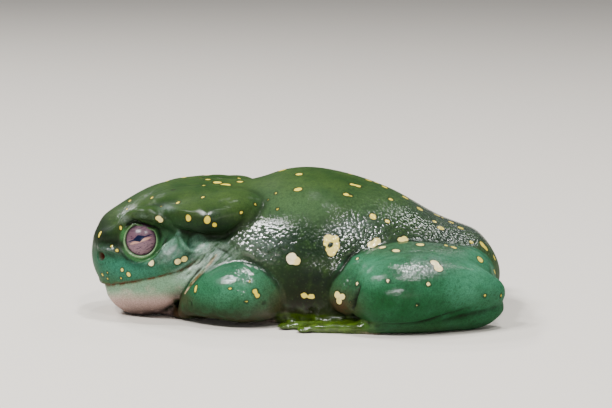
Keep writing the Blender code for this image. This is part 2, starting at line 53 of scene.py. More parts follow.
print("frame loaded, snout at", round(snoutX, 2), "mm")


# Seeing: where the photograph was taken from, so that a mark seen there can be laid on the skin.
view = {
    "middlePixel": (306.0, 204.0),
    "aim": (51.6, 0.0, 26.1),       # what the middle of the picture shows, mm
    "distance": 700.0,              # mm
    "elevation": 8.0,               # degrees above the floor
    "pixel": 0.24,                  # mm at the frog's middle plane
    "width": 612,
    "sensor": 36.0,
    "nearest": 0.01,                # metres
}
tilt = math.radians(view["elevation"])
viewAhead = np.array([0.0, math.cos(tilt), -math.sin(tilt)])
viewUp = np.array([0.0, math.sin(tilt), math.cos(tilt)])
viewRight = np.array([1.0, 0.0, 0.0])
viewFrom = np.array(view["aim"]) - viewAhead * view["distance"]


def sightLine(pixel):
    # from the camera through a pixel: ahead + right * columns + up * rows, made unit length
    across = (pixel[0] - view["middlePixel"][0]) * view["pixel"]
    above = (view["middlePixel"][1] - pixel[1]) * view["pixel"]
    way = viewAhead * view["distance"] + viewRight * across + viewUp * above
    return way / np.linalg.norm(way)


def makeCamera():
    data = bpy.data.cameras.new("camera")
    data.sensor_width = view["sensor"]
    data.lens = view["sensor"] * view["distance"] / (view["width"] * view["pixel"])
    data.clip_start = view["nearest"]
    camera = bpy.data.objects.new("camera", data)
    bpy.context.scene.collection.objects.link(camera)
    camera.location = (viewFrom + np.array([snoutX, 0, 0])) * metre
    camera.rotation_mode = "QUATERNION"
    camera.rotation_quaternion = Vector(viewAhead).to_track_quat("-Z", "Y")
    bpy.context.scene.camera = camera


makeCamera()


# Curves and surfaces.

def alongTable(table, at):
    # cubic curve through the table's rows, whose first column is the place along it
    table = np.array(table, float)
    knots, values = table[:, 0], table[:, 1:]
    slopes = np.gradient(values, knots, axis=0)
    at = np.clip(np.atleast_1d(at), knots[0], knots[-1])
    i = np.clip(np.searchsorted(knots, at, side="right") - 1, 0, len(knots) - 2)
    span = (knots[i + 1] - knots[i])[:, None]
    t = (at - knots[i])[:, None] / span
    return (values[i] * (2 * t**3 - 3 * t**2 + 1) + slopes[i] * (t**3 - 2 * t**2 + t) * span
            + values[i + 1] * (3 * t**2 - 2 * t**3) + slopes[i + 1] * (t**3 - t**2) * span)


def roundEnd(distance, reach):
    # rises from 0 at the end to 1 at reach like a quarter circle
    return np.sqrt(np.clip(1 - (1 - np.clip(distance / reach, 0, 1)) ** 2, 0, 1))


def step(low, high, value):
    # 0 below low, 1 above high, with a smooth S between
    t = np.clip((value - low) / (high - low), 0, 1)
    return t * t * (3 - 2 * t)


def bell(value, middle, width):
    # 1 at the middle, falling off on both sides as a bell curve of this width
    return np.exp(-((value - middle) / width) ** 2)


def window(points, steps):
    # smooth steps along the axes, multiplied: axis 0, 1 or 2, where it is 0 and where it is 1
    total = np.ones(len(points))
    for axis, low, high in steps:
        total *= step(low, high, points[:, axis])
    return total


def crowded(count, crowd):
    # 0 to 1 in count steps, closer together towards both ends
    u = np.linspace(0, 1, count + 2)[1:-1]
    return (1 - crowd) * u + crowd * (1 - np.cos(math.pi * u)) / 2


def closedShell(rings, firstPole, lastPole):
    # rings of equally many points joined by quads, with a fan of triangles to each pole
    count, sides = rings.shape[:2]
    points = np.vstack([rings.reshape(-1, 3), firstPole, lastPole])
    k = np.arange(sides)
    n = (k + 1) % sides
    rows = np.arange(count - 1)[:, None] * sides
    quads = np.stack([rows + k, rows + n, rows + sides + n, rows + sides + k], axis=2)
    last = (count - 1) * sides
    first = np.stack([np.full(sides, count * sides), n, k], axis=1)
    end = np.stack([np.full(sides, count * sides + 1), last + k, last + n], axis=1)
    return points, quads.reshape(-1, 4).tolist() + first.tolist() + end.tolist()


trunk = {
    "back": [(0.0, 20.1), (3.0, 23.4), (6.5, 25.9), (10.5, 28.4), (14, 30.2), (26, 32.2),
             (34, 32.0), (38, 31.9), (41.5, 32.7), (46, 34.2), (50, 34.8), (62, 33.2),
             (72, 29.6), (84, 23.1), (94, 19.2), (98.4, 16.8)],
    "belly": [(0.0, 9.5), (3.1, 6.4), (4.4, 4.4), (6.4, 1.8), (9, -0.4), (17, -0.4),
              (22, 3.1), (31, 3.3), (40, -0.8), (88, -0.8), (98.4, 4.0)],
    "halfWidth": [(0.0, 7.5), (3, 9.6), (8, 13.2), (14, 15.8), (22, 18.0), (32, 19.2),
                  (44, 22.4), (56, 25.2), (68, 24.2), (80, 20.5), (90, 15.8), (98.4, 10.5)],
    "widestAt": [(0.0, 14.5), (5, 12.5), (12, 11.5), (22, 12.5), (34, 12), (56, 11),
                 (80, 9.5), (98.4, 9)],
    "snoutCap": 3.0, "rumpCap": 7.0,
    "upperPower": 2.2,                          # 2 is an ellipse, more is squarer
    "lowerPower": [(0.0, 1.8), (20, 1.8), (28, 2.1), (40, 2.6), (98.4, 2.6)],
    "rings": 150, "sides": 120, "crowd": 0.6,
}


def trunkShell(settings):
    # at each station a squarish dome over a flatter belly: |y/half|^p + |z/up|^p = 1
    first, last = settings["back"][0][0], settings["back"][-1][0]
    x = first + (last - first) * crowded(settings["rings"], settings["crowd"])
    cap = (roundEnd(x - first, settings["snoutCap"])
           * roundEnd(last - x, settings["rumpCap"]))[:, None]
    level = alongTable(settings["widestAt"], x)
    up = (alongTable(settings["back"], x) - level) * cap
    down = (level - alongTable(settings["belly"], x)) * cap
    half = alongTable(settings["halfWidth"], x) * cap
    angle = np.linspace(0, 2 * math.pi, settings["sides"], endpoint=False)[None, :]
    c, s = np.cos(angle), np.sin(angle)
    power = np.where(s > 0, settings["upperPower"], alongTable(settings["lowerPower"], x))
    y = half * np.sign(c) * np.abs(c) ** (2 / power)
    z = level + np.where(s > 0, up, down) * np.sign(s) * np.abs(s) ** (2 / power)
    rings = np.stack([np.repeat(x[:, None], settings["sides"], axis=1), y, z], axis=2)
    poles = [(px, 0.0, alongTable(settings["widestAt"], px)[0, 0]) for px in (first, last)]
    return closedShell(rings, *poles)


def runAlong(path):
    # how far along a path each of its points lies, mm
    return np.concatenate([[0], np.cumsum(np.linalg.norm(np.diff(path, axis=0), axis=1))])


tubeStyle = {
    "cap": 0.9,             # how far a round end reaches, as a share of the tube's radius there
    "crowd": 0.4,           # how much closer the rings lie towards the ends, 0 to 1
    "slopeOver": 0.2,       # mm before and behind a ring, between which its direction is taken
    "samples": 40,          # places along a tube at which nearness to it is measured
}


def tubeFrame(stations, side=1, t=tubeStyle):
    # a tube's stations, the run along them, and how far its round ends reach past them
    table = np.array(stations, float)
    table[:, 1] *= side
    lead, tail = (min(table[end, 3:]) * t["cap"] for end in (0, -1))
    return table, runAlong(table[:, :3]), lead, tail


def tubeCap(reach, run, lead, tail):
    return roundEnd(reach + lead, 2 * lead) * roundEnd(run[-1] + tail - reach, 2 * tail)


def tubeShell(stations, side=1, rings=44, sides=36, t=tubeStyle):
    # an oval profile, half across by half high, carried along a bent path with round ends
    table, run, lead, tail = tubeFrame(stations, side)
    reach = crowded(rings, t["crowd"]) * (run[-1] + lead + tail) - lead
    inside = alongTable(np.column_stack([run, table]), reach)
    over = t["slopeOver"]
    near = np.clip(reach, over, run[-1] - over)
    path = np.column_stack([run, table[:, :3]])
    along = alongTable(path, near + over) - alongTable(path, near - over)
    along /= np.linalg.norm(along, axis=1, keepdims=True)
    centre = inside[:, :3] + along * (reach - np.clip(reach, 0, run[-1]))[:, None]
    across = np.cross(along, (0.0, 0.0, 1.0))
    across /= np.linalg.norm(across, axis=1, keepdims=True)
    upward = np.cross(across, along)
    cap = tubeCap(reach, run, lead, tail)
    wide, tall = (inside[:, 3] * cap)[:, None, None], (inside[:, 4] * cap)[:, None, None]
    angle = np.linspace(0, 2 * math.pi, sides, endpoint=False)[None, :, None]
    profile = (centre[:, None, :] + np.cos(angle) * wide * across[:, None, :]
               + np.sin(angle) * tall * upward[:, None, :])
    return closedShell(profile, table[0, :3] - along[0] * lead, table[-1, :3] + along[-1] * tail)


def ballShell(at, radii, side=1, rings=24, sides=36):
    # an ellipsoid: its three radii times the unit sphere, moved to its centre
    polar = np.linspace(0, math.pi, rings + 2)[1:-1][:, None]
    angle = np.linspace(0, 2 * math.pi, sides, endpoint=False)[None, :]
    unit = np.stack([np.sin(polar) * np.cos(angle), np.sin(polar) * np.sin(angle),
                     np.cos(polar) * np.ones_like(angle)], axis=2)
    centre = np.array(at, float) * (1, side, 1)
    size = np.array(radii, float)
    return closedShell(unit * size + centre, centre + size * (0, 0, 1), centre - size * (0, 0, 1))


def plateShell(outline, low, high, side=1):
    # a flat closed outline between two levels, for the web between toes
    flat = np.array(outline, float) * (1, side)
    rings = np.stack([np.column_stack([flat, np.full(len(flat), level)]) for level in (low, high)])
    middle = flat.mean(axis=0)
    return closedShell(rings, (*middle, low), (*middle, high))


def meshObject(name, points, faces):
    mesh = bpy.data.meshes.new(name)
    mesh.from_pydata(points.tolist() if isinstance(points, np.ndarray) else points, [], faces)
    mesh.update()
    made = bpy.data.objects.new(name, mesh)
    bpy.context.scene.collection.objects.link(made)
    return made


def meshArrays(mesh):
    # vertex places and the two ends of every edge, as arrays
    points = np.empty(len(mesh.vertices) * 3)
    mesh.vertices.foreach_get("co", points)
    edges = np.empty(len(mesh.edges) * 2, dtype=np.int64)
    mesh.edges.foreach_get("vertices", edges)
    return points.reshape(-1, 3), edges.reshape(-1, 2)


def normalsOf(mesh):
    normals = np.empty(len(mesh.vertices) * 3)
    mesh.vertices.foreach_get("normal", normals)
    return normals.reshape(-1, 3)


def relaxed(points, edges, rounds, share=None):
    # each round moves a point half way to the mean of its neighbours, times its share
    a, b = edges[:, 0], edges[:, 1]
    count = np.bincount(a, minlength=len(points)) + np.bincount(b, minlength=len(points))
    share = 0.5 if share is None else 0.5 * share[:, None]
    for turn in range(rounds):
        mean = np.stack([np.bincount(a, points[b, k], len(points))
                         + np.bincount(b, points[a, k], len(points)) for k in range(3)], axis=1)
        points = points + (mean / count[:, None] - points) * share
    return points


def fused(name, shells, voxel, rounds):
    # closed shells that cross are made one even skin of small squares, then relaxed
    allPoints, allFaces, shift = [], [], 0
    for points, faces in shells:
        allPoints.append(points)
        allFaces += [[k + shift for k in face] for face in faces]
        shift += len(points)
    rough = meshObject(name, np.vstack(allPoints), allFaces)
    grow = rough.modifiers.new("even skin", "REMESH")
    grow.mode = "VOXEL"
    grow.voxel_size = voxel
    bpy.context.view_layer.update()
    graph = bpy.context.evaluated_depsgraph_get()
    mesh = bpy.data.meshes.new_from_object(rough.evaluated_get(graph))
    bpy.data.objects.remove(rough)
    points, edges = meshArrays(mesh)
    points = relaxed(points, edges, rounds)
    mesh.vertices.foreach_set("co", points.ravel())
    mesh.update()
    return mesh


def meshShell(mesh):
    points, edges = meshArrays(mesh)
    return points, [list(face.vertices) for face in mesh.polygons]


# Flesh: the swellings of the head, then the limbs; x, y, z, half across, half high.
headForms = {
    "rostralPad": [(9.4, -12.6, 21.0, 1.8, 1.9), (5.2, -9.2, 19.2, 2.1, 2.4),
                   (3.1, -4.6, 18.0, 2.3, 3.0), (2.8, 0.0, 17.8, 2.3, 3.3)],
    "brow": [(7.4, -11.2, 21.2, 1.6, 1.6), (10.6, -13.2, 24.5, 2.1, 2.1),
             (13.8, -14.2, 25.6, 2.4, 2.2), (17.3, -14.8, 25.3, 2.6, 2.3),
             (21.7, -15.0, 24.6, 2.8, 2.6)],
    "gland": [(17.7, -13.5, 25.4, 2.5, 2.4), (21.6, -14.0, 25.0, 5.0, 3.9),
              (26.5, -13.8, 25.3, 6.9, 4.8), (31.4, -13.2, 25.9, 7.3, 5.2),
              (35.8, -12.6, 26.7, 6.5, 4.8), (39.2, -12.0, 27.1, 4.5, 3.5),
              (41.8, -11.4, 27.6, 1.9, 1.6)],
    "crown": [(14.0, -8.0, 25.4, 4.0, 3.0), (19.0, -8.8, 27.4, 5.0, 3.4),
              (25.0, -9.2, 28.2, 5.8, 3.5), (31.5, -9.2, 28.7, 5.8, 3.3),
              (37.5, -9.0, 28.2, 4.6, 2.6), (42.0, -8.8, 28.4, 2.4, 1.6)],
    "cheek": [(4.6, -8.6, 11.2, 1.8, 2.8), (8.8, -12.2, 12.0, 2.2, 3.0),
              (13.3, -14.8, 12.9, 2.4, 2.9), (17.7, -16.6, 14.2, 2.6, 2.9),
              (21.2, -17.5, 16.6, 2.3, 2.6), (23.0, -17.4, 20.6, 1.4, 1.6)],
    "throatFold": [(30.0, -17.6, 19.0, 1.3, 1.2), (28.5, -18.4, 13.5, 1.4, 1.2),
                   (26.0, -17.2, 8.5, 1.4, 1.2), (23.0, -13.8, 4.6, 1.2, 1.1)],
    "orbitAt": (13.3, -11.2, 19.4), "orbitRadii": (6.3, 5.6, 5.7),
}
limbForms = {
    "arm": [(22.6, -12.9, 3.0, 1.7, 1.9), (25.3, -15.2, 4.9, 3.4, 3.6),
            (28.6, -17.2, 6.5, 5.0, 5.3), (33.4, -18.8, 7.7, 6.6, 6.7),
            (38.0, -19.3, 7.8, 7.0, 7.3), (41.6, -19.3, 7.0, 6.7, 7.2)],
    "shoulder": [(40.4, -18.6, 7.8, 4.4, 4.8), (36.5, -16.6, 9.4, 5.2, 5.2),
                 (33.0, -13.6, 11.0, 4.6, 4.6), (30.5, -11.0, 12.0, 3.8, 3.8)],
    "palm": [(23.0, -12.8, 2.4, 2.3, 2.2), (23.7, -11.6, 1.9, 2.9, 1.8),
             (24.3, -10.6, 1.4, 3.4, 1.3)],
    "thigh": [(91.8, -10.4, 9.6, 6.2, 6.6), (87.6, -15.4, 10.6, 8.0, 7.6),
              (80.5, -19.6, 11.3, 9.4, 8.4), (72.0, -22.0, 11.6, 9.3, 8.3),
              (66.0, -24.0, 10.4, 8.0, 7.6), (62.4, -25.3, 8.7, 6.2, 6.6)],
    "shank": [(64.0, -28.4, 8.3, 4.8, 5.7), (67.5, -29.0, 8.9, 6.5, 7.7),
              (73.5, -29.0, 9.3, 7.3, 8.7), (80.0, -27.9, 9.9, 7.1, 8.0),
              (87.0, -25.7, 10.0, 6.2, 6.5), (94.4, -22.8, 8.6, 4.4, 4.7)],
    "tarsus": [(95.8, -21.6, 4.8, 2.6, 2.8), (91.5, -23.4, 3.6, 3.3, 3.4),
               (85.0, -26.0, 2.7, 3.7, 2.7), (79.0, -28.0, 2.1, 4.0, 2.1),
               (72.5, -28.4, 1.7, 4.3, 1.7), (66.5, -27.6, 1.4, 4.8, 1.4)],
}
digitForms = {
    "fingerRoots": ((22.4, -10.8), (26.2, -10.8)),
    "fingerTips": [(19.2, -6.0), (22.2, -4.2), (26.4, -4.2), (30.2, -6.6)],
    "fingerDisc": 2.1, "fingerWeb": 0.4,
    "toeRoots": ((69.0, -23.6), (69.0, -30.2)),
    "toeTips": [(61.5, -17.4), (55.5, -18.0), (49.8, -20.2), (48.0, -24.2), (52.4, -28.2)],
    "toeDisc": 2.2, "toeWeb": 0.74,
    "level": 1.2, "radius": 1.35, "discThickness": 1.6, "webThickness": 0.9,
    "rootSwell": 1.2, "tipWide": 0.85, "tipThick": 0.75,         # shares of the radius
    "tipDrop": 0.2, "discSink": 0.05, "webSink": 0.5,            # mm
    "webDip": 0.14,             # how far the web's edge falls back between two digits, a share
}


def between(ends, share):
    (x0, y0), (x1, y1) = ends
    return x0 + (x1 - x0) * share, y0 + (y1 - y0) * share


def digitShells(rootEnds, tips, disc, webShare, side, f=digitForms):
    # tapering tubes to flat round discs, and a thin plate that dips between them
    roots = [between(rootEnds, k / (len(tips) - 1)) for k in range(len(tips))]
    shells = []
    for root, tip in zip(roots, tips):
        run = math.dist(root, tip)
        ahead = ((tip[0] - root[0]) / run, (tip[1] - root[1]) / run)
        path = [(*root, f["level"], f["radius"] * f["rootSwell"], f["radius"]),
                (*between((root, tip), 0.5), f["level"], f["radius"], f["radius"]),
                (*tip, f["level"] - f["tipDrop"], f["radius"] * f["tipWide"],
                 f["radius"] * f["tipThick"])]
        shells.append(tubeShell(path, side, 24, 20))
        middle = (tip[0] + ahead[0] * disc / 2, tip[1] + ahead[1] * disc / 2,
                  f["discThickness"] / 2 - f["discSink"])
        shells.append(ballShell(middle, (disc, disc, f["discThickness"] / 2), side, 12, 24))
    reached = [between(pair, webShare) for pair in zip(roots, tips)]
    outline = [roots[0], reached[0]]
    for k in range(1, len(tips)):
        edge = between((reached[k - 1], reached[k]), 0.5)
        base = between((roots[k - 1], roots[k]), 0.5)
        outline += [between((edge, base), f["webDip"]), reached[k]]
    outline += roots[:0:-1]
    middle = f["level"] - f["webSink"]
    shells.append(plateShell(outline, middle - f["webThickness"] / 2,
                             middle + f["webThickness"] / 2, side))
    return shells


skinGrain = {"headVoxel": 0.5, "headRounds": 6, "voxel": 0.66, "joinRounds": 2}     # mm


def fleshMesh():
    h, d = headForms, digitForms
    pad = h["rostralPad"] + [(x, -y, z, w, t) for x, y, z, w, t in h["rostralPad"][-2::-1]]
    body = [trunkShell(trunk), tubeShell(pad, rings=60)]
    for side in (1, -1):
        body += [tubeShell(h[form], side)
                 for form in ("brow", "gland", "crown", "cheek", "throatFold")]
        body.append(ballShell(h["orbitAt"], h["orbitRadii"], side))
    first = fused("body", body, skinGrain["headVoxel"], skinGrain["headRounds"])
    limbs = [meshShell(first)]
    for side in (1, -1):
        limbs += [tubeShell(stations, side, 60, 48) for stations in limbForms.values()]
        limbs += digitShells(d["fingerRoots"], d["fingerTips"], d["fingerDisc"],
                             d["fingerWeb"], side)
        limbs += digitShells(d["toeRoots"], d["toeTips"], d["toeDisc"], d["toeWeb"], side)
    bpy.data.meshes.remove(first)
    return fused("flesh", limbs, skinGrain["voxel"], skinGrain["joinRounds"])


flesh = fleshMesh()
print("flesh fused:", len(flesh.polygons), "faces")


# The head's places, left side; the right mirrors them.
face = {
    "eyeAt": (13.3, -12.3, 19.4), "eyeAxis": (-0.16, -0.97, 0.10), "eyeRadius": 4.8,
    "nostrilPixel": (101.0, 256.0), "nostrilDepth": 3,
    "earAt": (26.4, -18.0, 19.3), "earAxis": (0.05, -0.95, 0.30), "earRadius": 2.7,
    "mouth": [(-2, 6.9), (3, 7.3), (8, 8.7), (13, 10.0), (18, 11.4), (22, 12.6), (25, 14.4),
              (28.5, 18.0)],
    # the lids' section: distance from the eye's axis and height along it
    "lid": [(0, 3.6), (3.1, 2.9), (3.5, 2.7), (3.65, 3.0), (3.76, 3.34), (3.88, 3.5),
            (4.1, 3.52), (4.35, 3.32), (4.6, 3.1), (5.1, 2.85), (5.9, 2.5)],
    "lidBlend": (4.5, 6.0),
    "lidChord": 0.84,        # how near the eye's axis the upper lid's straight edge comes
    "lidSlant": 18,          # degrees by which that edge drops towards the ear
}


def refine(mesh, chosen):
    # splits in four the faces whose middle the rule chooses
    bm = bmesh.new()
    bm.from_mesh(mesh)
    middles = np.array([face.calc_center_median()[:] for face in bm.faces])
    picked = chosen(middles)
    edges = {edge for face, pick in zip(bm.faces, picked) if pick for edge in face.edges}
    bmesh.ops.subdivide_edges(bm, edges=list(edges), cuts=1, use_grid_fill=True, smooth=0)
    bmesh.ops.triangulate(bm, faces=[face for face in bm.faces if len(face.verts) > 4])
    bm.to_mesh(mesh)
    bm.free()
    mesh.update()


def bothSides(points):
    # folds the right half onto the left, so that one rule serves both
    folded = points.copy()
    folded[:, 1] = -np.abs(points[:, 1])
    return folded


def aroundAxis(points, at, axis):
    # distance from an axis and height along it
    axis = np.array(axis, float) / np.linalg.norm(axis)
    away = points - np.array(at)
    height = away @ axis
    return np.linalg.norm(away - height[:, None] * axis, axis=1), height


def onSkin(tree, pixels):
    # where the lines of sight through these pixels first meet the skin
    hits = [tree.ray_cast(Vector(viewFrom), Vector(sightLine(pixel)))[0] for pixel in pixels]
    return np.array([hit[:] for hit in hits if hit is not None])


def skinTree(points, mesh):
    return BVHTree.FromPolygons(points.tolist(), [list(f.vertices) for f in mesh.polygons])


def eyeReach(points, at, axis):
    # distance from the eye's axis, made larger above it so that the opening ends in a chord
    radius, height = aroundAxis(points, at, axis)
    slant = math.radians(face["lidSlant"])
    upness = ((points[:, 2] - at[2]) * math.cos(slant) + (points[:, 0] - at[0]) * math.sin(slant))
    upness = upness / np.maximum(radius, 0.1)
    return radius * np.maximum(1, upness / face["lidChord"]), height, upness


def noseReach(points):
    # distance from the nostril's axis near the skin of the snout, and large elsewhere
    radius, height = aroundAxis(points, nostrilAt, nostrilAxis)
    return np.where(np.abs(height) < face["nostrilDepth"], radius, farOff)


nostrilHit = skinTree(meshArrays(flesh)[0], flesh).ray_cast(
    Vector(viewFrom), Vector(sightLine(face["nostrilPixel"])))
nostrilAt, nostrilAxis = np.array(nostrilHit[0][:]), np.array(nostrilHit[1][:])


# Where the skin's squares are made smaller, mm: distances from the axes of eye, ear and nostril
# and from the lip line, and boxes on the left side as ranges of x, y and z.
finer = {
    "eye": 6.2, "ear": 4.4, "earDepth": 3, "nostril": 2.2, "lip": 0.9, "lipEnd": 27,
    "boxes": [((-99, 36), (-99, -5), (5, 27)), ((44, 66), (-99, -15), (-99, 3.4))],
    "lids": (2.7, 5.2), "nostrilPit": 1.4,
}


def inBox(points, ranges):
    return np.all([(points[:, k] > low) & (points[:, k] < high)
                   for k, (low, high) in enumerate(ranges)], axis=0)


def nearFace(middles, f=finer):
    p = bothSides(middles)
    eyeR, eyeH = aroundAxis(p, face["eyeAt"], face["eyeAxis"])
    earR, earH = aroundAxis(p, face["earAt"], face["earAxis"])
    lip = np.abs(p[:, 2] - alongTable(face["mouth"], p[:, 0])[:, 0])
    cheek, toes = (inBox(p, box) for box in f["boxes"])
    return (((eyeR < f["eye"]) & (eyeH > 0)) | ((earR < f["ear"]) & (np.abs(earH) < f["earDepth"]))
            | (noseReach(p) < f["nostril"]) | ((lip < f["lip"]) & (p[:, 0] < f["lipEnd"]))
            | cheek | toes)


def nearEye(middles, f=finer):
    radius, height = aroundAxis(bothSides(middles), face["eyeAt"], face["eyeAxis"])
    return (((radius > f["lids"][0]) & (radius < f["lids"][1]) & (height > 0))
            | (noseReach(bothSides(middles)) < f["nostrilPit"]))


refine(flesh, nearFace)
refine(flesh, nearEye)


# Folds and creases, followed in the photograph on the left side; width and height in mm.
folds = [
    ("under the gland", [(163, 221), (170, 224.5), (177, 229.5), (188, 233), (204, 237),
                         (224, 237.5), (235, 229.5), (242, 222), (248, 213)], 0.85, -1.0),
    ("roll of the gland", [(166, 207), (174, 210.5), (184, 212), (194, 213.5), (204, 216.5),
                           (215, 221)], 1.0, 1.0),
    ("crease under the brow", [(121, 228), (124, 224.5), (130, 221.8), (138, 220.6), (149, 222),
                               (158, 224.6), (165, 228)], 0.45, -0.6),
    ("crest of the brow", [(121.5, 224), (125, 218.5), (130.5, 214.5), (138, 212), (146, 211.5),
                           (154, 213.5), (160, 217)], 0.95, 1.1),
    ("brow's lower edge", [(128, 219.5), (134, 218), (141, 217.8), (149, 219.5)], 0.4, 0.3),
    ("hollow behind the brow", [(158, 211), (163, 215), (169, 219.5), (175, 224)], 0.8, -0.45),
    ("canthus", [(97, 247.5), (104, 247.5), (113, 248.5), (124, 251)], 1.2, 1.5),
    ("hollow over the canthus", [(97, 241), (104, 242), (113, 242), (122, 240)], 0.8, -0.3),
    ("lore", [(108, 257), (116, 259), (123, 258)], 1.2, -0.25),
    ("orbit's lower edge", [(122, 252), (128, 259), (137, 263), (147, 262), (156, 256),
                            (162, 248)], 0.5, -0.3),
    ("cheek ridge", [(178, 234), (174, 240), (169, 246), (162, 253), (155, 258.5),
                     (147, 262.5)], 0.75, 1.35),
    ("hollow before the cheek ridge", [(170, 232), (166, 239), (161, 246), (154, 253)], 0.8, -0.5),
    ("spur before the eardrum", [(177, 231), (178.5, 235), (180.5, 239.5)], 0.5, 0.8),
    ("rim of the ear's bowl", [(178, 233), (180.5, 239), (184, 245.5), (188, 249.5), (194, 251),
                               (201, 249.5), (207, 245)], 0.45, 0.7),
    ("ear's bowl", [(187, 240), (194, 243), (201, 242)], 1.1, -0.55),
    ("corner of the mouth", [(192, 268.5), (199, 263), (204, 256), (208, 249)], 0.4, -0.5),
    ("lower lip's corner", [(176, 273.5), (185, 271.5), (194, 269), (201, 263.5)], 0.45, 0.35),
    ("fold edge", [(216, 255), (211, 262), (204, 270), (196, 278), (189, 287), (185, 293)],
     0.42, 0.6),
    ("before the fold edge", [(211, 255), (205, 263), (198, 271), (191, 279), (185, 287)],
     0.5, -0.2),
    ("throat fold", [(206, 255), (200, 264), (194, 272), (187, 280), (180, 287)], 0.4, 0.3),
    ("second throat fold", [(203, 252), (196, 262), (189, 270), (181, 278)], 0.32, 0.3),
    ("third throat fold", [(199, 252.5), (191, 261.5), (183, 269), (175, 276)], 0.3, -0.25),
    ("outer fold", [(219, 250), (215, 257), (209, 265), (202, 273)], 0.35, -0.4),
    ("neck fold", [(212, 239), (222, 243), (231, 249), (239, 256)], 0.5, 0.4),
    ("below the neck fold", [(208, 243), (217, 247), (226, 252), (233, 257.5)], 0.5, -0.4),
    ("flank fold", [(230, 239), (240, 246), (251, 253), (262, 259.5), (272, 266)], 0.6, 0.35),
    ("chin", [(106, 284), (111, 294), (117, 304), (124, 310), (133, 313)], 2.6, 0.9),
    ("wrist crease", [(188, 298), (191, 303), (192, 310)], 0.4, -0.4),
    ("knee crease", [(362, 280), (358, 289), (354.5, 298), (353, 307), (354, 316)], 0.6, -1.2),
    ("knee's edge", [(343, 269), (346, 261), (352, 254), (361, 249)], 0.5, -0.5),
    ("thigh line", [(362, 276), (374, 262), (390, 255), (410, 252), (430, 252.5), (452, 257),
                    (470, 265)], 1.0, -0.25),
    ("sole line", [(366, 321), (385, 324), (405, 324.5), (425, 321.5), (447, 314.5),
                   (470, 307.5), (488, 304)], 0.5, -0.45),
]


def offPath(points, path):
    # distance to the nearest stretch of a path, and how far along it, 0 to 1
    best, share = np.full(len(points), np.inf), np.zeros(len(points))
    run = runAlong(path)
    for k in range(len(path) - 1):
        way = path[k + 1] - path[k]
        t = np.clip((points - path[k]) @ way / (way @ way), 0, 1)
        away = np.linalg.norm(points - path[k] - t[:, None] * way, axis=1)
        closer = away < best
        best[closer] = away[closer]
        share[closer] = ((run[k] + t * (run[k + 1] - run[k])) / run[-1])[closer]
    return best, share


def tubeNear(points, stations):
    # how near a limb's middle line is, as a share of the limb's own thickness there
    table, run, lead, tail = tubeFrame(stations)
    reach = np.linspace(0, run[-1], tubeStyle["samples"])
    samples = alongTable(np.column_stack([run, table]), reach)
    samples[:, 3:] *= tubeCap(reach, run, lead, tail)[:, None]
    best = np.full(len(points), farOff)
    for x, y, z, wide, high in samples:
        away = points - (x, y, z)
        share = np.sqrt((away[:, 0] / (wide + high) * 2) ** 2 + (away[:, 1] / wide) ** 2
                        + (away[:, 2] / high) ** 2)
        best = np.minimum(best, share)
    return best


# Small forms pushed out of the skin or into it, mm. A form has its height, and the middle and
# width of its bell; a pair gives where a form is nothing and where it is full.
relief = {
    "thighNear": (1.5, 1.1),            # from the limb's middle line, as a share of its thickness
    "thighValley": [(2, 9, 13), (0, 64, 70)], "thighRounds": 60,
    "foldEnds": (0.06, 0.94),           # nearer its path's ends a fold's height stays as it is
    "mouthEnd": (28, 25), "lipGroove": (-0.6, 0.0, 0.3), "upperLip": (0.25, 0.8, 0.5),
    "jawSet": 0.30, "jawTop": (0.2, -0.5), "jawLow": (-3.0, -0.8),
    "nostrilPit": (-1.5, 0.0, 0.85), "nostrilRim": (0.2, 1.4, 0.4),
    "earDepth": (4.0, 2.0), "earRing": (0.14, face["earRadius"], 0.5),
    "drumSet": 0.25, "drumEdge": (face["earRadius"], face["earRadius"] - 1.3),
    "lidCrease": (0.5, 4.75, 0.33), "lidCreaseFrom": (0.1, 0.6),
}


def formed(value, form):
    height, middle, width = form
    return height * bell(value, middle, width)


def softenedThigh(points, edges, r=relief):
    # relaxes the valley where thigh and shank lie against each other, above the knee's middle
    p = bothSides(points)
    thigh, shank = tubeNear(p, limbForms["thigh"]), tubeNear(p, limbForms["shank"])
    share = (step(*r["thighNear"], thigh) * step(*r["thighNear"], shank)
             * window(p, r["thighValley"]))
    return relaxed(points, edges, r["thighRounds"], share)


